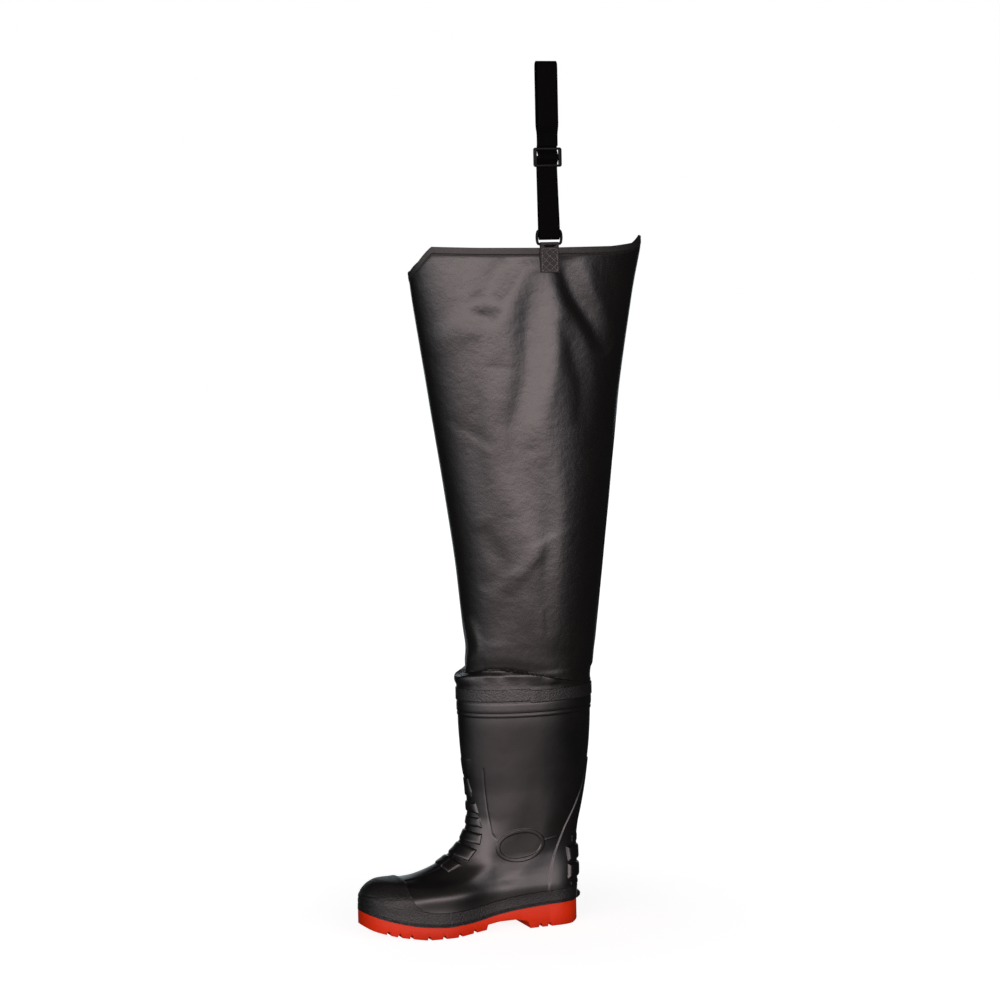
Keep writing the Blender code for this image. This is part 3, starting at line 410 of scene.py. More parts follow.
def laid_grid(across, up, place, near=None, reaches=()):
    """A grid whose corners go where place() puts them, welded at its two sides into a tube.

    Where near() gives a distance under one of the reaches, the grid is cut in half once more.
    """
    form = bmesh.new()
    bmesh.ops.create_grid(form, x_segments=across, y_segments=up, size=0.5)
    for reach in reaches:
        close = near(*flat_places(form)) < reach
        form.verts.index_update()
        edges = [e for e in form.edges if close[e.verts[0].index] or close[e.verts[1].index]]
        bmesh.ops.subdivide_edges(form, edges=edges, cuts=1, use_grid_fill=True)
    points, notes = place(*flat_places(form))
    for name, values in notes.items():
        layer = form.verts.layers.float.new(name)
        for corner, value in zip(form.verts, values):
            corner[layer] = value
    for corner, point in zip(form.verts, points):
        corner.co = point
    bmesh.ops.remove_doubles(form, verts=form.verts, dist=0.000001)
    return form


def as_mesh(name, form):
    mesh = bpy.data.meshes.new(name)
    form.to_mesh(mesh)
    form.free()
    return mesh


def as_object(name, form):
    thing = bpy.data.objects.new(name, as_mesh(name, form))
    scene.collection.objects.link(thing)
    return thing


def add_form(target, source):
    mesh = as_mesh("part", source)
    target.from_mesh(mesh)
    bpy.data.meshes.remove(mesh)


def wall_between(outside, inside, middle):
    """Closes a tube's outer and inner grids at their ends; middle is a height between the ends."""
    bmesh.ops.reverse_faces(inside, faces=inside.faces)
    add_form(outside, inside)
    open_edges = [edge for edge in outside.edges if edge.is_boundary]
    for above in (False, True):
        ring = [e for e in open_edges
                if ((e.verts[0].co.z + e.verts[1].co.z) / 2 > middle) == above]
        bmesh.ops.bridge_loops(outside, edges=ring)
    return outside


def finished(name, form, finish, nodes=(), smooth=50):
    """Turns a bmesh into a piece that rides with the wader."""
    piece = as_object(name, form)
    mesh = piece.data
    mesh.materials.append(finish)
    mesh.shade_smooth()
    mesh.set_sharp_from_angle(angle=math.radians(smooth))
    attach(piece, "root")
    if nodes:
        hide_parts(*nodes)
    print(name, sum(len(face.vertices) - 2 for face in mesh.polygons), "triangles")
    return piece


# %% [markdown]
# ## Outlines in side view
# The moulded patches of the boot are drawn in side view, as a mould maker would. `inside` gives how
# far a point lies inside an outline, in metres, so a patch's edge can be as soft as the real one.
# %% Side outlines
def side(corners):
    """Reach and height shares to metres along Y and Z."""
    return np.array([(HEEL_REST_REACH - r * SOLE_LENGTH, h * BOOT_HEIGHT) for r, h in corners])


def inside(outline, y, z):
    """Signed distance to a closed outline, positive inside."""
    nearest = np.full(y.shape, np.inf)
    crossings = np.zeros(y.shape, int)
    for (ay, az), (by, bz) in zip(outline, np.roll(outline, -1, axis=0)):
        edge_y, edge_z = by - ay, bz - az
        t = np.clip(((y - ay) * edge_y + (z - az) * edge_z) / (edge_y ** 2 + edge_z ** 2), 0, 1)
        nearest = np.minimum(nearest, np.hypot(y - ay - t * edge_y, z - az - t * edge_z))
        spans = (az > z) != (bz > z)
        with np.errstate(divide="ignore", invalid="ignore"):
            crossings += spans & (y < edge_y * (z - az) / edge_z + ay)
    return np.where(crossings % 2 == 1, nearest, -nearest)


def softened(path, step, rounds):
    """A path with points at even steps and its corners eased."""
    path = np.array(path, float)
    walked = np.concatenate([[0.0], np.cumsum(np.hypot(*np.diff(path, axis=0).T))])
    even = np.linspace(0, walked[-1], max(2, int(walked[-1] / step)) + 1)
    points = np.stack([np.interp(even, walked, path[:, k]) for k in (0, 1)], axis=1)
    for _ in range(rounds):
        points[1:-1] = (points[:-2] + 2 * points[1:-1] + points[2:]) / 4
    return points


def off_line(points, y, z):
    """Distance to an open line, positive on its left, and how far along the nearest place is."""
    points = np.asarray(points, float)
    lengths = np.hypot(*np.diff(points, axis=0).T)
    walked = np.concatenate([[0.0], np.cumsum(lengths)])
    nearest, along, side_of = np.full(y.shape, np.inf), np.zeros(y.shape), np.ones(y.shape)
    for (ay, az), (by, bz), start, length in zip(points, points[1:], walked, lengths):
        t = np.clip(((y - ay) * (by - ay) + (z - az) * (bz - az)) / length ** 2, 0, 1)
        away = np.hypot(y - ay - t * (by - ay), z - az - t * (bz - az))
        closer = away < nearest
        along = np.where(closer, (start + t * length) / walked[-1], along)
        side_of = np.where(closer, np.sign((by - ay) * (z - az) - (bz - az) * (y - ay)), side_of)
        nearest = np.minimum(nearest, away)
    return nearest * side_of, along


TOE_CAP_REAR = side([(0.818, 0.300), (0.818, 0.265), (0.819, 0.235), (0.816, 0.205),
                     (0.809, 0.178), (0.795, 0.150), (0.764, 0.126)])
band_reach = np.linspace(0.75, -0.06, 28)[1:] * SOLE_LENGTH
band = np.stack([HEEL_REST_REACH - band_reach,
                 sole_top(np.maximum(band_reach, 0)) + FOXING_HEIGHT], axis=1)
FOXING = np.concatenate([TOE_CAP_REAR, band, side([(-0.06, -0.1), (1.06, -0.1), (1.06, 0.30)])])
COUNTER = side([(-0.052, 0.720), (-0.014, 0.593), (0.030, 0.511), (0.079, 0.428), (0.115, 0.356),
                (0.139, 0.301), (0.159, 0.228), (0.170, 0.160), (0.178, 0.060), (-0.3, 0.060),
                (-0.3, 0.720)])
PADS = [side(p) for p in (
    [(0.56, 0.757), (0.500, 0.751), (0.503, 0.676), (0.56, 0.672)],
    [(0.56, 0.664), (0.503, 0.664), (0.490, 0.606), (0.490, 0.584), (0.56, 0.584)],
    [(0.56, 0.568), (0.479, 0.558), (0.470, 0.514), (0.56, 0.518)],
    [(0.56, 0.503), (0.466, 0.496), (0.459, 0.453), (0.56, 0.462)],
    [(0.535, 0.442), (0.461, 0.425), (0.474, 0.380), (0.535, 0.392)],
    [(0.540, 0.384), (0.490, 0.358), (0.530, 0.312), (0.605, 0.346), (0.600, 0.384)],
    [(0.615, 0.345), (0.587, 0.322), (0.560, 0.298), (0.620, 0.272), (0.650, 0.300),
     (0.650, 0.345)],
)]
SMALL_RIBS = [side(r) for r in (
    [(0.040, 0.388), (-0.090, 0.388), (-0.090, 0.350), (0.042, 0.350)],
    [(0.060, 0.188), (-0.090, 0.188), (-0.090, 0.164), (0.062, 0.164)],
)]
HEEL_RIBS = [side(r) for r in (
    [(0.074, 0.340), (-0.090, 0.340), (-0.090, 0.273), (0.067, 0.273)],
    [(0.068, 0.264), (-0.090, 0.264), (-0.090, 0.198), (0.074, 0.198)],
)]
SPUR = side([(0.026, 0.142), (-0.012, 0.132), (-0.025, 0.119), (-0.025, 0.113), (0.002, 0.1015),
             (0.026, 0.1015)])
ANKLE_CENTRE = side([(0.295, 0.368)])[0]
ANKLE_TILT = math.radians(3)
ANKLE_HALF = (0.0350, 0.0228)
ANKLE_BORDER = 0.0055


def patch(outline, y, z, step, soft):
    return step * ease(-0.3 * soft, 0.7 * soft, inside(outline, y, z))


def ankle_oval(y, z):
    """About how far inside the ankle's oval a point lies."""
    dy, dz = y - ANKLE_CENTRE[0], z - ANKLE_CENTRE[1]
    along = dy * math.cos(ANKLE_TILT) + dz * math.sin(ANKLE_TILT)
    across = dz * math.cos(ANKLE_TILT) - dy * math.sin(ANKLE_TILT)
    share = np.hypot(along / ANKLE_HALF[0], across / ANKLE_HALF[1])
    return (1 - share) * np.hypot(along, across) / np.maximum(share, 0.001)


# %% [markdown]
# ## The moulded upper
# Every step in the rubber is a height over the plain surface. Of the broad steps, such as the rim's
# roll, the highest one counts, so two of them never pile up. Fine lines are added last.
# %% Relief of the upper
PARTING_LINE = np.array([(-0.021, 0.1185), (-0.003, 0.1205)])
MOULDED_LINE = np.array([(-0.106, 0.220), (-0.105, 0.205), (-0.101, 0.165), (-0.096, 0.132),
                         (-0.089, 0.122)])
LINE_WIDTH = 0.0009
ROLL_LINES = (BOOT_HEIGHT - 0.0185, BOOT_HEIGHT - 0.0132, BOOT_HEIGHT - 0.001)
ROLL_STEP = 0.0017
KEEL_HALF = 0.0125


def pillow(outline, y, z, step, radius):
    """A patch whose edge is a quarter round."""
    depth = np.clip(inside(outline, y, z) / radius, 0, 1)
    return step * (1 - (1 - depth) ** 2.4) ** 0.55


def upper_relief(point):
    x, y, z = point.T
    steps = [
        patch(COUNTER, y, z, 0.0013, 0.0018),
        patch(PADS[0], y, z, 0.0009, 0.0050),
        *[pillow(p, y, z, 0.0023, 0.0042) for p in PADS[1:]],
        *[pillow(r, y, z, 0.0021, 0.0034) for r in SMALL_RIBS],
        *[pillow(r, y, z, 0.0042, 0.0050) for r in HEEL_RIBS],
        pillow(SPUR, y, z, 0.0062, 0.0060),
        ROLL_STEP * roll_profile(z),
    ]
    height = np.maximum.reduce(steps)
    oval = ankle_oval(y, z)
    height += 0.0011 * ease(0.0, 0.0011, oval) * ease(-0.0006, 0.0005, ANKLE_BORDER - oval)
    height += 0.0004 * hump(off_line(PARTING_LINE, y, z)[0], 0, LINE_WIDTH) * (x > 0)
    away, along = off_line(MOULDED_LINE, y, z)
    height -= 0.0008 * hump(away, 0, LINE_WIDTH) * ease(1.0, 0.9, along)
    keel = ease(KEEL_HALF + 0.001, KEEL_HALF - 0.001, np.abs(x + 0.001)) * ease(-0.135, -0.150, y)
    return height + 0.0010 * keel * ease(0.055, 0.065, z) * (z < 0.13)


def roll_profile(z):
    """The rim's two beads: a low narrow one and a higher broad one that runs over the edge."""
    low, middle, high = ROLL_LINES[0], ROLL_LINES[1], BOOT_HEIGHT
    over = high + 0.002
    lower = np.clip(1 - ((z - (low + middle) / 2) / ((middle - low) / 2)) ** 2, 0, 1) ** 0.5
    upper = np.clip(1 - ((z - (middle + over) / 2) / ((over - middle) / 2)) ** 4, 0, 1) ** 0.5
    return np.maximum(lower * 0.72, upper) * (z < high + 0.0005)


def near_features(level, turn):
    """Distance to the nearest moulded edge or line."""
    x, y, z = boot_surface(level, turn).T
    oval = ankle_oval(y, z)
    edges = [np.abs(inside(outline, y, z))
             for outline in (COUNTER, *PADS, *SMALL_RIBS, *HEEL_RIBS, SPUR)]
    edges += [np.abs(off_line(line, y, z)[0]) for line in (PARTING_LINE, MOULDED_LINE)]
    edges += [np.abs(z - line) for line in ROLL_LINES]
    edges += [np.abs(oval), np.abs(oval - ANKLE_BORDER)]
    edges.append(np.where((y < -0.135) & (z > 0.055), np.abs(np.abs(x + 0.001) - KEEL_HALF), 1.0))
    return np.minimum.reduce(edges)


# %% Rows spread evenly over the surface
def even_levels(first, last, count, turns=(0.0, 0.25, 0.5)):
    """Levels spaced so that rows lie about evenly over the surface."""
    fine = np.linspace(first, last, 1500)
    run = np.max([np.linalg.norm(np.diff(boot_surface(fine, turn), axis=0), axis=1)
                  for turn in turns], axis=0)
    walked = np.concatenate([[0.0], np.cumsum(run)])
    return np.interp(np.linspace(0, walked[-1], count + 1), walked, fine)


UPPER_AROUND, UPPER_ROWS, INNER_ROWS = 192, 144, 8
UPPER_SEAM = 0.75
upper_levels = even_levels(0.0, TOP_LEVEL + 1.0, UPPER_ROWS)


def upper_place(u, v):
    """The grid's seam runs down the middle of the inner side."""
    return np.interp(v, np.linspace(0, 1, UPPER_ROWS + 1), upper_levels), u + UPPER_SEAM


def outer_upper(u, v):
    level, turn = upper_place(u, v)
    return grown_boot(level, turn, upper_relief(boot_surface(level, turn))), {}


def inner_upper(u, v):
    level, turn = upper_place(u, v)
    return grown_boot(level, turn, np.full(u.shape, -BOOT_WALL)), {}


# %% [markdown]
# ## Black boot rubber
# Moulded PVC is smooth and takes a broad, slightly broken reflection. Its gloss wanders a little,
# and fine dents from the mould disturb it. A warm tint keeps the black from looking painted.
# %% Boot finish
def boot_finish():
    finish = Finish("boot_gloss")
    place = finish.place()
    broad = finish.noise(place, 18, 3)
    fine = finish.noise(place, 420, 3, 0.6)
    scuffs = finish.noise(place, 90, 4, 0.7, squeeze=(1, 1, 3))
    patches = finish.ramp(broad, (0.3, 0.0), (0.7, 1.0))
    colour = finish.blend(patches, grey(0.0022), grey(0.0040, 0.10))
    roughness = 0.23 + 0.12 * broad + 0.10 * scuffs
    normal = finish.bump(broad, 0.0008, finish.bump(fine, 0.00006))
    return finish.surface(base_color=colour, roughness=roughness, normal=normal)


# %% Upper
boot_gloss = boot_finish()
outer = laid_grid(UPPER_AROUND, UPPER_ROWS, outer_upper,
                  near=lambda u, v: near_features(*upper_place(u, v)), reaches=(0.0032, 0.0014))
inner = laid_grid(UPPER_AROUND, INNER_ROWS, inner_upper)
finished("boot_upper_skin", wall_between(outer, inner, BOOT_HEIGHT / 2), boot_gloss,
         ["boot_upper"])

# %% [markdown]
# ## Toe cap and foxing
# The rand is a second layer of rubber around the foot: a tall cap over the toe and a band along the
# sole. Its upper edge is an outline in side view, so for each turn around the boot the rows stop
# exactly at that outline, and the last rows roll down onto the upper.
# %% Rand
RAND_STEP = 0.0018
TOE_GROOVES = (0.0445, 0.0515, 0.0585)
RAND_AROUND, RAND_ROWS, RAND_EDGE_ROWS = 430, 84, 6
rand_turns = np.linspace(0, 1, RAND_AROUND + 1)


def rand_edge():
    """For each turn, the level where the surface leaves the rand's side outline."""
    levels = np.linspace(0.02, 6.5, 900)
    edges = []
    for turn in rand_turns:
        point = boot_surface(levels, np.full(levels.shape, turn))
        depth = inside(FOXING, point[:, 1], point[:, 2])
        last = int(np.nonzero(depth > 0)[0].max())
        share = depth[last] / (depth[last] - depth[last + 1])
        edges.append(levels[last] + share * (levels[last + 1] - levels[last]))
    return np.array(edges)


rand_levels = rand_edge()


def rand_place(u, v):
    """Rows up the rand, then a rolled edge that ends under the upper's skin."""
    body_share = RAND_ROWS / (RAND_ROWS + RAND_EDGE_ROWS)
    top = np.interp(u, rand_turns, rand_levels)
    share = np.clip(v / body_share, 0, 1)
    fall = np.clip((v - body_share) / (1 - body_share), 0, 1)
    level = top * share
    point = boot_surface(level, u)
    grow = RAND_STEP * np.cos(fall * math.pi / 2) ** 0.45 - 0.0006 * fall
    y, z = point[:, 1], point[:, 2]
    toe = ease(-0.215, -0.245, y)
    toe = toe * ease(0.034, 0.020, np.abs(point[:, 0] + 0.008))
    for height in TOE_GROOVES:
        grow -= 0.0007 * hump(z, height, 0.0011) * toe
    over_sole = z - sole_top(np.clip(HEEL_REST_REACH - y, 0, SOLE_LENGTH))
    for line, depth in ((0.0015, -0.0004), (0.0027, 0.0003), (0.0039, -0.0004)):
        grow += depth * hump(over_sole, line, 0.0006)
    grow += 0.0006 * hump(share, 1, 0.035) * ease(0.060, 0.070, z) * (fall == 0)
    grow = np.maximum(grow, patch(SPUR, y, z, 0.0064, 0.0060) * (fall == 0) * (y > 0.02))
    return grown_boot(level + fall * 0.03, u, grow), {}


# %% [markdown]
# ## Pebbled rubber
# The rand is dull and covered in fine pebbles, which break its reflections into specks. Cells give
# the pebbles, and a second, larger noise keeps them from looking machined.
# %% Rand finish
def pebbled_finish():
    finish = Finish("rand_pebbles")
    place = finish.place()
    pebbles = finish.cells(place, 620)
    broad = finish.noise(place, 40, 3)
    height = finish.ramp(pebbles, (0.0, 1.0), (0.75, 0.0))
    colour = finish.blend(height, grey(0.0015), grey(0.0045, 0.03))
    roughness = 0.42 + 0.16 * broad
    normal = finish.bump(height, 0.00048)
    return finish.surface(base_color=colour, roughness=roughness, normal=normal,
                          specular_ior_level=0.42)


rand_pebbles = pebbled_finish()
rand = laid_grid(RAND_AROUND, RAND_ROWS + RAND_EDGE_ROWS, rand_place)
finished("toe_cap_and_foxing", rand, rand_pebbles)

# %% [markdown]
# ## The sole
# The sole is a block of coloured rubber: its plan outline carried up, its upper side and underside
# bent to the side profile, and slots cut between the lugs. The operators do each of those steps.
# %% Sole
SOLE_EDGE = 0.0014
LUG_DEPTH = 0.0050
LUG_SLOT = 0.0046
TOE_SPRING = np.array([(0.745, 0.00), (0.81, 0.10), (0.87, 0.20), (0.93, 0.34), (0.97, 0.45),
                       (1.00, 0.60)])
UNDERSIDE = np.array([(0.610, 0.00), (0.530, 0.08), (0.468, 0.14), (0.460, 0.36), (0.405, 0.44),
                      (0.325, 0.455), (0.278, 0.36), (0.266, 0.28), (0.258, 0.00), (0.050, 0.00),
                      (0.018, 0.09), (0.000, 0.20)])
LUG_REACHES = (0.914, 0.870, 0.820, 0.742, 0.674, 0.599, 0.525, 0.209, 0.166)


def plan_outline(grow, count=220):
    turn = np.arange(count) / count
    point = boot_surface(np.zeros(count), turn)[:, :2]
    twist = (boot_surface(np.zeros(count), turn + SLOPE_STEP)
             - boot_surface(np.zeros(count), turn - SLOPE_STEP))[:, :2]
    normal = np.stack([twist[:, 1], -twist[:, 0]], axis=-1)
    normal /= -np.linalg.norm(normal, axis=-1, keepdims=True)
    return point + np.asarray(grow) * normal


def side_profile():
    """Side view of the sole from its back upper corner, over the top, around the toe and back."""
    over = 0.01
    top = [(HEEL_REST_REACH - r * SOLE_LENGTH, float(sole_top(r * SOLE_LENGTH)))
           for r in np.linspace(0, 1, 61)]
    spring_reach = np.linspace(1.0, TOE_SPRING[0, 0], 25)
    spring = curve_through(TOE_SPRING[:, 0], TOE_SPRING[:, 1], spring_reach)
    under = [(HEEL_REST_REACH - r * SOLE_LENGTH, h * HEEL_HEIGHT)
             for r, h in [*zip(spring_reach, spring), *UNDERSIDE]]
    toe_end = [(top[-1][0] - over, top[-1][1]), (under[0][0] - over, under[0][1] + over)]
    heel_end = [(under[-1][0] + over, under[-1][1]), (top[0][0] + over, top[0][1])]
    return heel_end[1:] + top + toe_end + under + heel_end[:1]


def carried(outline, low, high, axis):
    """A flat outline in Y and Z carried along X, or one in X and Y carried along Z."""
    form = bmesh.new()
    lift = (lambda a, b: (low, a, b)) if axis == "X" else (lambda a, b: (a, b, low))
    face = form.faces.new([form.verts.new(lift(a, b)) for a, b in outline])
    grown = bmesh.ops.extrude_face_region(form, geom=[face])["geom"]
    way = Vector((high - low, 0, 0) if axis == "X" else (0, 0, high - low))
    moved = [g for g in grown if isinstance(g, bmesh.types.BMVert)]
    bmesh.ops.translate(form, verts=moved, vec=way)
    bmesh.ops.recalc_face_normals(form, faces=form.faces)
    return form


def cut(target, tool, operation="DIFFERENCE"):
    modifier = target.modifiers.new(tool.name, "BOOLEAN")
    modifier.operation = operation
    modifier.solver = "EXACT"
    modifier.object = tool


def applied(target, tools):
    """The target's evaluated mesh as a bmesh; the target and its tools are removed."""
    bpy.context.view_layer.update()
    seen = target.evaluated_get(bpy.context.evaluated_depsgraph_get())
    form = bmesh.new()
    form.from_mesh(bpy.data.meshes.new_from_object(seen))
    for thing in [target, *tools]:
        bpy.data.objects.remove(thing)
    return form


def rounded_edges(thing, name, width, segments, angle=30):
    """Rounds every edge that is sharper than the angle."""
    edge = thing.modifiers.new(name, "BEVEL")
    edge.width = width
    edge.segments = segments
    edge.limit_method = "ANGLE"
    edge.angle_limit = math.radians(angle)


def lug_slot(reach, line_y, line_z):
    """A slot across the sole that narrows upwards, as a moulded one does."""
    y = HEEL_REST_REACH - reach * SOLE_LENGTH
    floor = float(np.interp(y, line_y, line_z))
    wide, narrow = LUG_SLOT * 0.95, LUG_SLOT * 0.28
    outline = [(y - wide, floor - LUG_SLOT), (y + wide, floor - LUG_SLOT),
               (y + narrow, floor + LUG_DEPTH), (y - narrow, floor + LUG_DEPTH)]
    return carried(outline, -BALL_WIDTH, BALL_WIDTH, "X")


block = as_object("sole_block", carried(side_profile(), -BALL_WIDTH, BALL_WIDTH, "X"))
plan_tool = as_object("sole_plan", carried(plan_outline(SOLE_EDGE), -0.02, 0.08, "Z"))
cut(block, plan_tool, "INTERSECT")
under_line = np.concatenate([TOE_SPRING[::-1], UNDERSIDE]) * (SOLE_LENGTH, HEEL_HEIGHT)
slots = [as_object("slot", lug_slot(reach, HEEL_REST_REACH - under_line[:, 0], under_line[:, 1]))
         for reach in LUG_REACHES]
for slot_tool in slots:
    cut(block, slot_tool)
sole = applied(block, [plan_tool, *slots])
bmesh.ops.remove_doubles(sole, verts=sole.verts, dist=0.00002)
bmesh.ops.dissolve_limit(sole, angle_limit=math.radians(0.5), verts=sole.verts,
                         edges=sole.edges)
sharp = [e for e in sole.edges
         if len(e.link_faces) == 2 and e.calc_face_angle() > math.radians(35)]
bmesh.ops.bevel(sole, geom=sharp, offset=0.0006, segments=2, affect="EDGES", profile=0.5,
                material=-1, clamp_overlap=True)


def sole_finish():
    """Orange-red rubber: satin, a little darker in patches, with painted shade along its lower
    edge.
    """
    finish = Finish("sole_rubber")
    place = finish.place()
    broad = finish.noise(place, 30, 3)
    fine = finish.noise(place, 500, 2)
    # Painted shade: the colour darkens towards the sole's lower edge, near the floor.
    low = finish.ramp(finish.split(place, "Z") * 60, (0.0, 0.0), (0.9, 1.0))
    share = 0.35 * broad + 0.65 * low
    colour = finish.blend(share, (0.33, 0.012, 0.0016, 1.0), (0.46, 0.020, 0.0022, 1.0))
    roughness = 0.36 + 0.14 * broad
    normal = finish.bump(fine, 0.00005)
    return finish.surface(base_color=colour, roughness=roughness, normal=normal,
                          specular_ior_level=0.12)


finished("sole_lugs", sole, sole_finish(), ["outsole"], smooth=30)


# %% [markdown]
# ## Footbed
# A textile on thin foam lies inside the boot. It shows only from above, down the leg.
# %% Footbed
INSOLE_THICKNESS = 0.003
INSOLE_PLAY = 0.0009


def footbed():
    edge = plan_outline(-(BOOT_WALL + INSOLE_PLAY), 160)
    form = bmesh.new()
    face = form.faces.new([form.verts.new((x, y, 0.0)) for x, y in edge])
    bmesh.ops.inset_region(form, faces=[face], thickness=0.002, use_even_offset=True)
    bmesh.ops.triangulate(form, faces=form.faces)
    for corner in form.verts:
        corner.co.z = float(sole_top(HEEL_REST_REACH - corner.co.y)) + GAP + INSOLE_THICKNESS
        corner.co.z -= 0.001 if corner.is_boundary else 0.0
    bmesh.ops.solidify(form, geom=form.faces[:], thickness=INSOLE_THICKNESS - 0.001)
    bmesh.ops.recalc_face_normals(form, faces=form.faces)
    return form


def footbed_finish():
    finish = Finish("footbed_textile")
    place = finish.place()
    knit = finish.cells(place, 900)
    broad = finish.noise(place, 60, 3)
    colour = finish.blend(broad, grey(0.06), grey(0.12))
    return finish.surface(base_color=colour, roughness=0.9, normal=finish.bump(knit, 0.0003))


finished("footbed", footbed(), footbed_finish(), ["insole"])

# %% [markdown]
# ## The leg's folds
# Coated fabric folds in a few long, soft lines and a few sharp ones. Each fold is listed: a
# line over the leg's side, a depth and a width. Positive depths stand out, negative ones sink in.
# %% Folds
# Each: side (1 outer, -1 inner, 0 both), depth, width on the line's left, width on its right, and
# the line itself as points in Y and Z, all in millimetres
FOLDS = [
    (1, -6, 22, 15, [(6, 912), (16, 875), (24, 854), (40, 832), (53, 813), (63, 796),
     (80, 775)]),
    (1, 1.2, 14, 14, [(37, 900), (56, 853), (74, 821), (92, 775)]),
    (1, 2.6, 26, 13, [(-28, 905), (-51, 871), (-69, 844), (-84, 813), (-90, 760)]),
    (1, -2, 13, 14, [(-72, 902), (-88, 876), (-100, 852), (-110, 830)]),
    (1, -0.9, 8.5, 14, [(-118, 852), (-103, 843), (-90, 837), (-72, 831)]),
    (1, 1.7, 16, 24, [(-170, 780), (-148, 800), (-125, 816), (-104, 824), (-70, 826)]),
    (1, -5.4, 26, 21, [(-28, 885), (-37, 845), (-41, 799), (-45, 746), (-53, 715), (-64, 683),
     (-63, 630), (-48, 573), (-28, 525)]),
    (1, 2, 19, 22, [(-6, 880), (-4, 820), (-3, 787), (-16, 735), (-30, 700), (-46, 650)]),
    (1, 2, 26, 22, [(-104, 815), (-108, 759), (-94, 705), (-84, 650), (-78, 560)]),
    (1, -2.2, 20, 14, [(4, 820), (22, 769), (34, 733), (30, 670)]),
    (1, -2, 14, 16, [(-118, 800), (-112, 730), (-116, 650), (-104, 560)]),
    (1, -1.8, 13, 14, [(-26, 640), (-20, 560), (-26, 470), (-22, 400)]),
    (1, -0.6, 10, 6, [(-148, 694), (-117, 668), (-90, 652)]),
    (1, -1.6, 12, 12, [(-108, 548), (-94, 520), (-84, 500), (-86, 482), (-106, 462)]),
    (1, 1, 8, 11, [(-24, 524), (-40, 505), (-55, 489), (-78, 458)]),
    (1, -1.4, 14, 14, [(-76, 480), (-82, 440), (-90, 388)]),
    (1, 0.5, 5, 6, [(-54, 456), (-51, 430), (-50, 404)]),
    (1, 0.5, 5, 6, [(-33, 438), (-31, 415), (-30, 394)]),
    (1, 0.5, 2.4, 3, [(-51, 380), (-51, 366), (-51.5, 352)]),
    (1, 2.6, 5, 10, [(-118, 425), (-112, 405), (-109, 388), (-108, 376), (-113, 366),
     (-130, 352)]),
    (-1, -4, 20, 18, [(-46, 900), (-60, 780), (-42, 660)]),
    (-1, 3, 22, 18, [(22, 890), (10, 760), (16, 620)]),
    (-1, -2.4, 16, 20, [(36, 880), (60, 800), (74, 720)]),
    (-1, -2.2, 18, 14, [(-82, 590), (-60, 500), (-66, 420)]),
    (-1, 1.2, 10, 12, [(-120, 690), (-80, 640), (-44, 620)]),
    (0, 0.8, 2.2, 2.2, [(63, 330), (68, 450), (83, 600), (125, 800), (146, 930)]),
]
# The fabric sags over the boot's stiff top: the crease's height along Y, on the outer side
SAG_LINE = np.array([(-150, 339.5), (-137, 341.5), (-125, 346.5), (-115, 351), (-104, 354.5),
                     (-88, 355), (-71, 354), (-50, 350), (-30, 346), (-12, 341), (5, 337),
                     (20, 334), (70, 330)]) / 1000
# Strength of the sag around the leg: degrees from the front over the outer side
SAG_AROUND = np.array([(-180, 0.3), (-120, 0.5), (-60, 0.9), (-10, 1.0), (60, 1.0), (95, 0.9),
                       (118, 0.25), (140, 0.05), (180, 0.3)])
LIP_WAVE, LIP_WAVE_START = 224, -0.098
TUCK_HEIGHT = 0.382


def cloth_relief(point, angle):
    """Outward height of the folds, and how far the sagging cloth hangs down."""
    x, y, z = point.T
    height = np.zeros(x.shape)
    for where, depth, left, right_width, line in FOLDS:
        away, along = off_line(softened(np.array(line) / 1000, 0.004, 6), y, z)
        taper = np.clip(np.sin(math.pi * along), 0, 1) ** 0.6
        facing = 1.0 if where == 0 else ease(-0.004, 0.012, where * x)
        width = np.where(away > 0, left, right_width) / 1000
        height += depth / 1000 * hump(away, 0, width) * taper * facing
    degrees = np.degrees(np.arctan2(np.sin(angle), np.cos(angle)))
    crease = np.interp(y, SAG_LINE[:, 0], SAG_LINE[:, 1])
    strength = np.interp(degrees, SAG_AROUND[:, 0], SAG_AROUND[:, 1])
    over = z - crease
    above = ease(-0.0008, 0.0008, over)
    height -= strength * above * (0.0040 * hump(over, 0, 0.0100) + 0.0012 * hump(over, 0, 0.003))
    lip = 0.0026 + 0.0007 * np.cos(LIP_WAVE * (y - LIP_WAVE_START))
    lip += 0.0004 * ease(-0.110, -0.128, y)
    height += strength * (1 - above) * lip * hump(over, -0.0020, 0.0095)
    height -= 0.0030 * ease(-0.100, -0.122, y) * hump(z, TUCK_HEIGHT, 0.018)
    hang = strength * 0.0016 * hump(over, 0.0030, 0.0036)
    return height, hang


# %% [markdown]
# ## The leg
# The leg is cut from flat coated cloth and welded into a flared tube, with a folded hem on top and
# a chamfered front corner. It is laid as a fine grid outside and a coarser one inside.
# %% Leg
CLOTH_AROUND, CLOTH_ROWS = 300, 236
HEM_STEP = 0.0008
HEM_SEAM = 0.0098
FINE_TOP, FINE_ROWS = 0.055, 45


def rising_rows(count):
    """Close rows up to FINE_TOP, and this many more up to the leg's top."""
    return np.concatenate([np.linspace(0, FINE_TOP, FINE_ROWS + 1),
                           np.linspace(FINE_TOP, LEG_HEIGHT, count + 1)[1:]])


row_rise = rising_rows(175)
lining_rise = rising_rows(45)


def cloth_rise(v, angle, rows):
    """Rows over the rim: close together at the sag, then evenly up to the hem's own line."""
    top = hem_rise(angle)
    plain = np.interp(v, np.linspace(0, 1, len(rows)), rows)
    share = ease(0.30, 1.0, plain / LEG_HEIGHT)
    return GAP + plain * (1 - share) + plain / LEG_HEIGHT * top * share - GAP * (v >= 1)


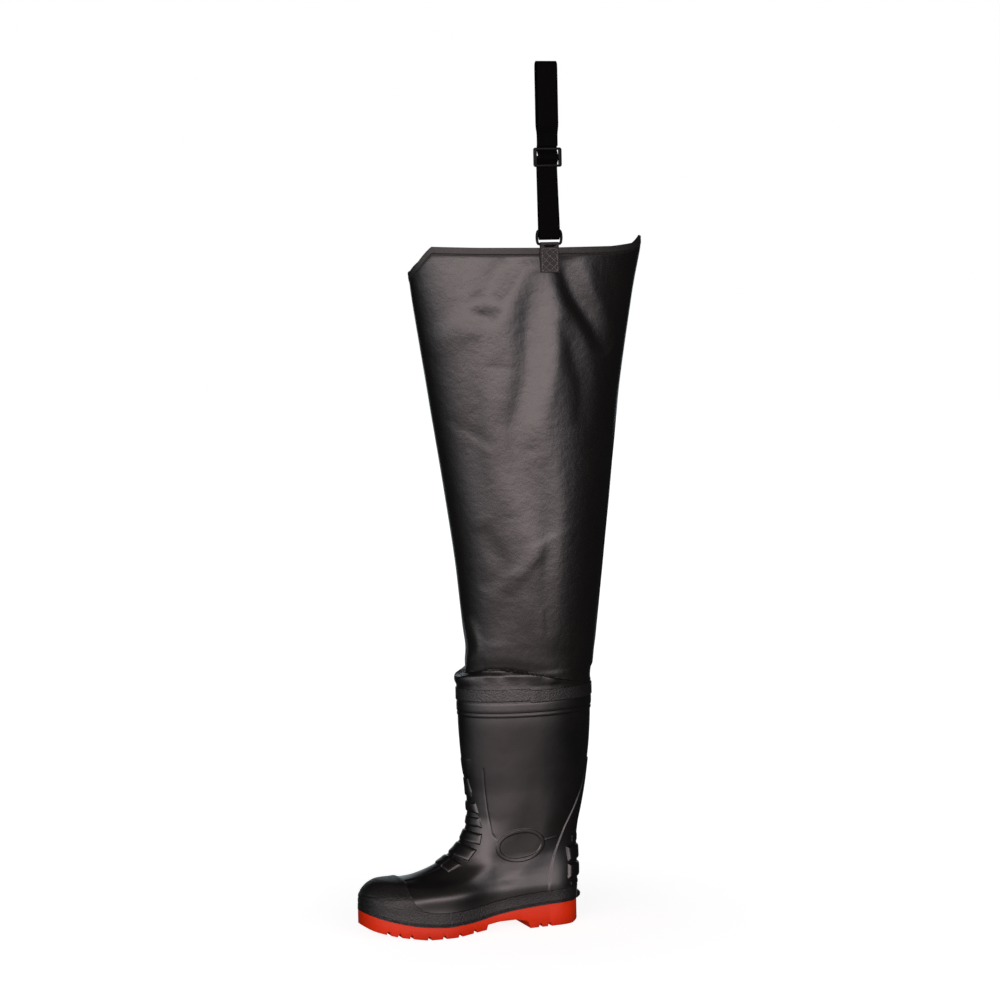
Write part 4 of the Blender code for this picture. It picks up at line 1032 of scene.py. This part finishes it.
def outer_cloth(u, v):
    angle = 2 * math.pi * u
    rise = cloth_rise(v, angle, row_rise)
    below_hem = hem_rise(angle) - rise
    base = leg_point(rise, angle, np.full(u.shape, GAP + CLOTH))
    height, hang = cloth_relief(base, angle)
    free = ease(0.021, 0.027, rise)
    hem = HEM_STEP * ease(HEM_HEIGHT + 0.0006, HEM_HEIGHT - 0.0006, below_hem)
    calm = ease(0.002, 0.020, below_hem)
    grow = GAP + CLOTH + hem + height * free * (0.25 + 0.75 * calm)
    point = leg_point(rise, angle, grow)
    point[:, 2] -= hang * free
    return point, {"below_hem": below_hem}


def inner_cloth(u, v):
    angle = 2 * math.pi * u
    rise = cloth_rise(v, angle, lining_rise)
    base = leg_point(rise, angle, np.full(u.shape, GAP))
    height, _ = cloth_relief(base, angle)
    free = ease(0.021, 0.027, rise)
    room = 0.0012 * free * ease(0.090, 0.060, rise)
    point = leg_point(rise, angle, GAP + np.minimum(height, 0) * free - room)
    return point, {"below_hem": hem_rise(angle) - rise}


def cloth_finish():
    """Coated cloth: a soft broad sheen, a faint weave, and a welded line under the hem."""
    finish = Finish("coated_cloth")
    place = finish.place()
    broad = finish.noise(place, 9, 4, 0.55)
    mottle = finish.noise(place, 70, 4, 0.6)
    weave = finish.noise(place, 900, 2)
    hem_line = finish.attribute("below_hem")
    from_seam = finish.call("ABSOLUTE", hem_line - HEM_SEAM)
    line = from_seam < 0.00055
    colour = finish.blend(broad, grey(0.0025, 0.08), grey(0.0045, 0.12))
    colour = finish.blend(line * 0.8, colour, grey(0.001))
    groove = finish.ramp(from_seam * 300, (0.1, 0.0), (0.45, 1.0))
    hem = finish.ramp(hem_line * 30, (0.27, 1.0), (0.42, 0.0))
    roughness = 0.26 + 0.08 * broad + 0.05 * mottle + 0.24 * hem
    normal = finish.bump(groove, 0.0007, finish.bump(mottle, 0.0006, finish.bump(weave, 0.00007)))
    return finish.surface(base_color=colour, roughness=roughness, normal=normal)


coated_cloth = cloth_finish()
outer = laid_grid(CLOTH_AROUND, CLOTH_ROWS, outer_cloth)
inner = laid_grid(CLOTH_AROUND, len(lining_rise) - 1, inner_cloth)
leg = finished("leg_cloth", wall_between(outer, inner, BOOT_HEIGHT + LEG_HEIGHT / 2), coated_cloth,
               ["leg_shaft"])

# %% [markdown]
# ## The joint's tape
# A strip of knurled rubber tape is wrapped over the joint. Its ends overlap on the outer side,
# where the upper layer lies slightly lower than the lower one.
# %% Tape
TAPE_SEAM = math.radians(83)
TAPE_AROUND, TAPE_ROWS = 360, 18


def tape_shift(angle):
    """The wrap climbs slowly around the leg and steps down at its overlapped ends."""
    past = np.mod(angle - TAPE_SEAM, 2 * math.pi) / (2 * math.pi)
    return -0.0013 + 0.0026 * past


def tape_place(grow_by):
    def place(u, v):
        angle = 2 * math.pi * u
        past = np.mod(angle - TAPE_SEAM, 2 * math.pi)
        overlap = TAPE_THICKNESS * 0.7 * ease(math.radians(9), 0.0, past)
        overlap = overlap * (past > math.radians(0.9))
        edge = np.minimum(v, 1 - v)
        rounded = np.sqrt(np.clip(1 - (1 - np.clip(edge / 0.06, 0, 1)) ** 2, 0, 1))
        rise = GAP + 0.0012 + v * (TAPE_HEIGHT - 0.0024 - GAP) + tape_shift(angle)
        layer = TAPE_THICKNESS * rounded + overlap + 0.0004 * hump(v, 1, 0.05)
        grow = 2 * GAP + CLOTH + (layer if grow_by else 0.0)
        return leg_point(rise, angle, grow), {}
    return place


def tape_finish():
    finish = Finish("knurled_tape")
    place = finish.place()
    knurl = finish.cells(place, 520)
    broad = finish.noise(place, 60, 3)
    height = finish.ramp(knurl, (0.0, 1.0), (0.7, 0.0))
    colour = finish.blend(height, grey(0.0025), grey(0.0060, 0.08))
    return finish.surface(base_color=colour, roughness=0.38 + 0.15 * broad,
                          normal=finish.bump(height, 0.00032))


tape = wall_between(laid_grid(TAPE_AROUND, TAPE_ROWS, tape_place(True)),
                    laid_grid(TAPE_AROUND, 2, tape_place(False)), BOOT_HEIGHT + TAPE_HEIGHT / 2)
finished("joint_tape_band", tape, tape_finish(), ["joint_tape"])

# %% [markdown]
# ## Webbing
# The strap is one length of woven webbing. A ribbon is a grid laid along a path, with its width
# across the path, and it carries its own UV map so that the weave follows every bend.
# %% Strap sizes
WEBBING_WIDTH = 0.0285
WEBBING = 0.0018
TAB_WIDTH = 0.026
TAB_WEBBING = 0.0015
TAB_SEWN = 0.033
STRAP_REACH = 0.0435
RING_HEIGHT = 0.0205
RING_WIRE = 0.0034
RING_RISE = 0.0135
SLIDER_WIDTH = 0.0395
SLIDER_HEIGHT = 0.0255
SLIDER_THICKNESS = 0.003
SLIDER_BAR = 0.0032
SLIDER_RISE = 0.1185
JOIN_RISE = 0.133
JOIN_HEIGHT = 0.016
LOOP_HEIGHT = 0.112
LOOP_OPENING = 0.008
LOOP_SPREAD = 0.0105
LOOP_DROOP = 0.0090
SLACK = 0.0005

top_row = LEG_SECTIONS[-1]
strap_reach = STRAP_REACH - LEG_CENTRE - top_row[1] * SOLE_LENGTH
strap_angle = math.acos(strap_reach / (LEG_DEPTH * top_row[2]))
strap_rise = float(hem_rise(strap_angle))
hem_side = leg_point(np.array([strap_rise]), np.array([strap_angle]), GAP + CLOTH + HEM_STEP)[0]
STRAP_X = float(hem_side[0]) + GAP + TAB_WEBBING
STRAP_Y = HEEL_REST_REACH - STRAP_REACH
HEM = BOOT_HEIGHT + strap_rise
print("strap stands at", round(STRAP_X, 4), STRAP_Y, "over the hem at", round(HEM, 4))


def arc(centre, radius, start, end, steps=16):
    angles = np.radians(np.linspace(start, end, steps + 1))
    return [(centre[0] + radius * math.cos(a), centre[1] + radius * math.sin(a)) for a in angles]


def ribbon(path, width, thickness):
    """Webbing along a path in X and Z, with rounded selvedges; UV is metres across and along."""
    points = softened(path, 0.0012, 10)
    last = len(points) - 1
    walked = np.concatenate([[0.0], np.cumsum(np.hypot(*np.diff(points, axis=0).T))])
    form = bmesh.new()
    bmesh.ops.create_grid(form, x_segments=6, y_segments=last, size=0.5)
    uv = form.loops.layers.uv.new("UVMap")
    at = {corner: (corner.co.x + 0.5, round((corner.co.y + 0.5) * last))
          for corner in form.verts}
    for face in form.faces:
        for loop in face.loops:
            share, row = at[loop.vert]
            loop[uv].uv = (share * width, walked[row])
    for corner, (share, row) in at.items():
        x, z = points[row]
        corner.co = (x, STRAP_Y + (share - 0.5) * width, z)
    bmesh.ops.recalc_face_normals(form, faces=form.faces)
    strip = as_object("ribbon", form)
    wall = strip.modifiers.new("thickness", "SOLIDIFY")
    wall.thickness = thickness
    wall.offset = 0.0
    wall.use_even_offset = True
    rounded_edges(strip, "selvedge", thickness * 0.32, 2, angle=60)
    return applied(strip, [])


# %% [markdown]
# ## Woven webbing finish
# Webbing shows diagonal rows of yarns along its length. Two sine waves over the UV map, one across
# and one along, make the rib pattern, and noise roughens it.
# %% Webbing finish
def webbing_finish(name, dark, light, across, along, gloss, relief):
    finish = Finish(name)
    uv = finish.uv()
    u, v = finish.split(uv, "X"), finish.split(uv, "Y")
    rows = finish.call("SINE", (u * across) + (v * along))
    cross = finish.call("SINE", (u * across) - (v * along))
    fibres = finish.noise(finish.place(), 1500, 2)
    height = 0.5 + 0.25 * rows + 0.25 * cross
    colour = finish.blend(height, grey(dark), grey(light, 0.04))
    roughness = 0.62 + 0.2 * fibres
    normal = finish.bump(height + 0.3 * fibres, relief)
    return finish.surface(base_color=colour, roughness=roughness, normal=normal,
                          specular_ior_level=gloss)


# %% Strap
def strap_form():
    bar = (STRAP_X, HEM + RING_RISE + (RING_HEIGHT - RING_WIRE) / 2)
    radius = RING_WIRE / 2 + SLACK + WEBBING / 2
    buckle = HEM + SLIDER_RISE
    middle_bar = SLIDER_BAR / 2 + SLACK
    outer_bar = SLIDER_HEIGHT / 2 - SLIDER_BAR - SLACK
    behind = STRAP_X - SLIDER_THICKNESS / 2 - GAP - WEBBING / 2
    before = STRAP_X + SLIDER_THICKNESS / 2 + GAP + WEBBING / 2
    layer = WEBBING + GAP
    end = [(behind, buckle + middle_bar), (behind, buckle - middle_bar),
           (behind - layer, buckle - outer_bar), (behind - layer, buckle - SLIDER_HEIGHT / 2),
           (STRAP_X - radius, bar[1] + 2 * radius)]
    climb = [(STRAP_X + radius, bar[1] + 2 * radius),
             (behind, buckle - SLIDER_HEIGHT / 2 - WEBBING),
             (behind, buckle - outer_bar), (before, buckle - middle_bar),
             (before, buckle + middle_bar), (behind, buckle + outer_bar),
             (behind, buckle + SLIDER_HEIGHT / 2)]
    join = HEM + JOIN_RISE
    spread = join + JOIN_HEIGHT + LOOP_SPREAD
    half = (LOOP_OPENING + WEBBING) / 2
    crown = arc((STRAP_X, join + LOOP_HEIGHT - half - WEBBING / 2), half, 0, 180)
    right_side = [(STRAP_X + layer / 2, join), (STRAP_X + layer / 2, join + JOIN_HEIGHT),
                  (STRAP_X + half, spread)]
    left_side = [(STRAP_X - half, spread), (STRAP_X - layer / 2, join + JOIN_HEIGHT),
                 (STRAP_X - layer / 2, join)]
    lower = end + arc((bar[0], bar[1] - LOOP_DROOP), radius, 180, 360) + climb
    lower += [(STRAP_X - layer / 2, join + 0.002)]
    form = ribbon(lower, WEBBING_WIDTH, WEBBING)
    add_form(form, ribbon(right_side + crown + left_side, WEBBING_WIDTH, WEBBING))
    return form


woven = webbing_finish("strap_weave", 0.0005, 0.0022, 4200, 2600, 0.02, 0.00010)
finished("strap_webbing", strap_form(), woven, ["strap"], smooth=40)

# %% [markdown]
# ## Tab and its stitches
# A short piece of paler webbing is sewn to the leg and turned over the ring's bar. Its stitches are
# real small bars of thread: a frame and a lattice of diagonals, as a bar-tack machine sews them.
# %% Tab
def tab_form():
    bar = (STRAP_X, HEM + RING_RISE - (RING_HEIGHT - RING_WIRE) / 2)
    radius = RING_WIRE / 2 + GAP + TAB_WEBBING / 2
    low = HEM - TAB_SEWN
    backing = []
    for z in (low, HEM - HEM_HEIGHT - 0.001, HEM - HEM_HEIGHT, HEM):
        step = HEM_STEP if z > HEM - HEM_HEIGHT - 0.0005 else 0.0
        at = leg_point(np.array([z - BOOT_HEIGHT]), np.array([strap_angle]),
                       GAP + CLOTH + step + GAP)[0]
        backing.append((float(at[0]) + TAB_WEBBING / 2, float(at[2])))
    front = STRAP_X + TAB_WEBBING / 2
    path = backing + arc(bar, radius, 180, 0) + [(front, HEM), (front + 0.0004, low)]
    return ribbon(path, TAB_WIDTH, TAB_WEBBING - 0.0002)


tab_weave = webbing_finish("tab_weave", 0.008, 0.022, 3600, 3000, 0.4, 0.00035)
finished("tab_webbing", tab_form(), tab_weave, ["hanger_tab"], smooth=40)


def thread_finish():
    finish = Finish("tab_thread")
    twist = finish.noise(finish.place(), 1800, 2)
    colour = finish.blend(twist, grey(0.10, 0.05), grey(0.20, 0.08))
    return finish.surface(base_color=colour, roughness=0.6, normal=finish.bump(twist, 0.0001))


def stitch_row(form, start, end, stitch=0.0024, gap=0.0008):
    """Small rounded bars of thread from start to end, in Y and Z on the tab's face."""
    start, end = Vector(start), Vector(end)
    length = (end - start).length
    count = max(1, round(length / (stitch + gap)))
    way = (end - start).normalized()
    turn = math.atan2(way.y, way.x)
    for i in range(count):
        centre = start + way * (i + 0.5) * length / count
        place = Matrix.Translation((STRAP_X + TAB_WEBBING + 0.0002, centre.x, centre.y))
        shape = Matrix.Rotation(turn, 4, "X") @ Matrix.Diagonal((0.0005, stitch, 0.0005, 1))
        bmesh.ops.create_icosphere(form, subdivisions=1, radius=0.55, matrix=place @ shape)


def tab_stitches():
    form = bmesh.new()
    half = TAB_WIDTH / 2 - 0.0022
    low, high = HEM - TAB_SEWN + 0.002, HEM - 0.0015
    left, right_edge = STRAP_Y - half, STRAP_Y + half
    for a, b in (((left, low), (right_edge, low)), ((left, high), (right_edge, high)),
                 ((left, low), (left, high)), ((right_edge, low), (right_edge, high))):
        stitch_row(form, a, b)
    rows = np.linspace(low, high, 4)
    columns = np.linspace(left, right_edge, 3)
    for z0, z1 in zip(rows, rows[1:]):
        for y0, y1 in zip(columns, columns[1:]):
            stitch_row(form, (y0, z0), (y1, z1))
            stitch_row(form, (y0, z1), (y1, z0))
    return form


finished("tab_stitches", tab_stitches(), thread_finish())

# %% [markdown]
# ## Ring and slider
# Both are glossy moulded plastic. The ring's frame mesh is already right, so a copy of it is welded
# and smoothed. The slider starts from a cube, gets round corners, two slots and soft edges.
# %% Ring and slider
def hard_plastic(name, roughness):
    finish = Finish(name)
    fine = finish.noise(finish.place(), 300, 2)
    colour = finish.blend(fine, grey(0.0015), grey(0.0025))
    return finish.surface(base_color=colour, roughness=roughness + 0.06 * fine,
                          normal=finish.bump(fine, 0.00004), specular_ior_level=0.045)


def ring_form():
    form = bmesh.new()
    form.from_mesh(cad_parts["ring"].data)
    bmesh.ops.remove_doubles(form, verts=form.verts, dist=0.00001)
    bmesh.ops.join_triangles(form, faces=form.faces, angle_face_threshold=0.7,
                             angle_shape_threshold=0.7)
    bmesh.ops.subdivide_edges(form, edges=form.edges, cuts=2, smooth=1.0, use_grid_fill=True)
    bmesh.ops.recalc_face_normals(form, faces=form.faces)
    return form


ring_gloss = hard_plastic("ring_gloss", 0.16)
finished("strap_ring", ring_form(), ring_gloss, ["ring"])


def box(centre, size):
    form = bmesh.new()
    bmesh.ops.create_cube(form, size=1.0,
                          matrix=Matrix.Translation(centre) @ Matrix.Diagonal((*size, 1.0)))
    return form


def slider_form():
    centre = Vector((STRAP_X, STRAP_Y, HEM + SLIDER_RISE))
    form = box(centre, (SLIDER_THICKNESS, SLIDER_WIDTH, SLIDER_HEIGHT))
    corners = [e for e in form.edges if abs(e.verts[0].co.x - e.verts[1].co.x) > 0.001]
    bmesh.ops.bevel(form, geom=corners, offset=0.003, segments=5, affect="EDGES", profile=0.5,
                    material=-1)
    body = as_object("slider_body", form)
    slot = (SLIDER_HEIGHT - 3 * SLIDER_BAR) / 2
    tools = []
    for way in (-1, 1):
        middle = centre + Vector((0, 0, way * (slot + SLIDER_BAR) / 2))
        tool = box(middle, (3 * SLIDER_THICKNESS, WEBBING_WIDTH + 4 * SLACK, slot))
        tools.append(as_object("slot", tool))
        cut(body, tools[-1])
    rounded_edges(body, "edges", 0.0007, 3)
    return applied(body, tools)


slider_gloss = hard_plastic("slider_gloss", 0.20)
finished("strap_slider", slider_form(), slider_gloss, ["slider"], smooth=35)

# %% [markdown]
# ## Studio
# A black, glossy product shows little but what it reflects, so the studio is drawn as what it sees
# around it: a long low band of light on the toe's side and the outer side, darkness on the heel's
# side, and a smaller light behind. The camera itself sees plain white all around.
# %% World
BACK_AZIMUTH = math.radians(252)
AMBIENT, KEY_POWER, BACK_POWER = 0.02, 6.5, 1.3

world = bpy.data.worlds.new("studio")
scene.world = world
world.use_nodes = True
sky = Tree(world.node_tree)
way = sky.node("ShaderNodeTexCoord", {}, output="Generated")
height = sky.split(way, "Z")
across, ahead = sky.split(way, "X"), 0 - sky.split(way, "Y")
round_about = sky.sum("ARCTAN2", across, ahead) * (0.5 / math.pi) + 0.5
elevation = 0.5 + 0.5 * height
key_side = sky.ramp(round_about, (0.42, 0.0), (0.50, 0.15), (0.57, 0.60), (0.65, 1.0),
                    (0.812, 1.0), (0.832, 0.50), (0.855, 0.10), (0.89, 0.0))
key_band = sky.ramp(elevation, (0.05, 0.04), (0.25, 0.10), (0.30, 0.12), (0.37, 0.13),
                    (0.43, 0.29), (0.475, 0.62), (0.52, 1.0), (0.585, 1.05), (0.625, 0.88),
                    (0.665, 0.34), (0.73, 0.09), (0.80, 0.015))
back_side = sky.ramp(sky.facing(way, BACK_AZIMUTH), (0.90, 0.0), (0.97, 1.0))
back_band = sky.ramp(elevation, (0.30, 0.0), (0.45, 1.0), (0.65, 1.0), (0.80, 0.0))
light = AMBIENT + KEY_POWER * key_band * key_side + BACK_POWER * back_band * back_side
tint = sky.blend(key_side, (0.85, 0.94, 1.0, 1.0), (1.0, 0.84, 0.85, 1.0))
seen = sky.node("ShaderNodeLightPath", {}, output="Is Camera Ray")
sky.feed(sky.nodes["Background"].inputs["Color"], sky.blend(seen, tint, (1, 1, 1, 1)))
sky.feed(sky.nodes["Background"].inputs["Strength"], seen + (1 - seen) * light)


# %% Floor
def floor_finish():
    """White paper that glows; the glow dims a little under the wader as a painted shadow."""
    finish = Finish("floor_paper")
    place = finish.place()
    away = finish.node("ShaderNodeVectorMath", {0: place}, output="Value", operation="LENGTH")
    # Painted shadow: the glow is dimmer near the wader than far away.
    painted_shadow_glow = finish.ramp(away, (0.15, 0.86), (0.9, 1.0))
    return finish.surface(base_color=grey(0.5), roughness=0.9, specular_ior_level=0.0,
                          emission_color=painted_shadow_glow, emission_strength=1.0)


floor_form = bmesh.new()
bmesh.ops.create_grid(floor_form, x_segments=4, y_segments=4, size=12.0)
floor = as_object("floor", floor_form)
floor.data.materials.append(floor_finish())
floor.location.z = -0.0008
floor.visible_glossy = False
floor.visible_diffuse = False
floor.visible_shadow = False
scene.view_settings.view_transform = "Standard"
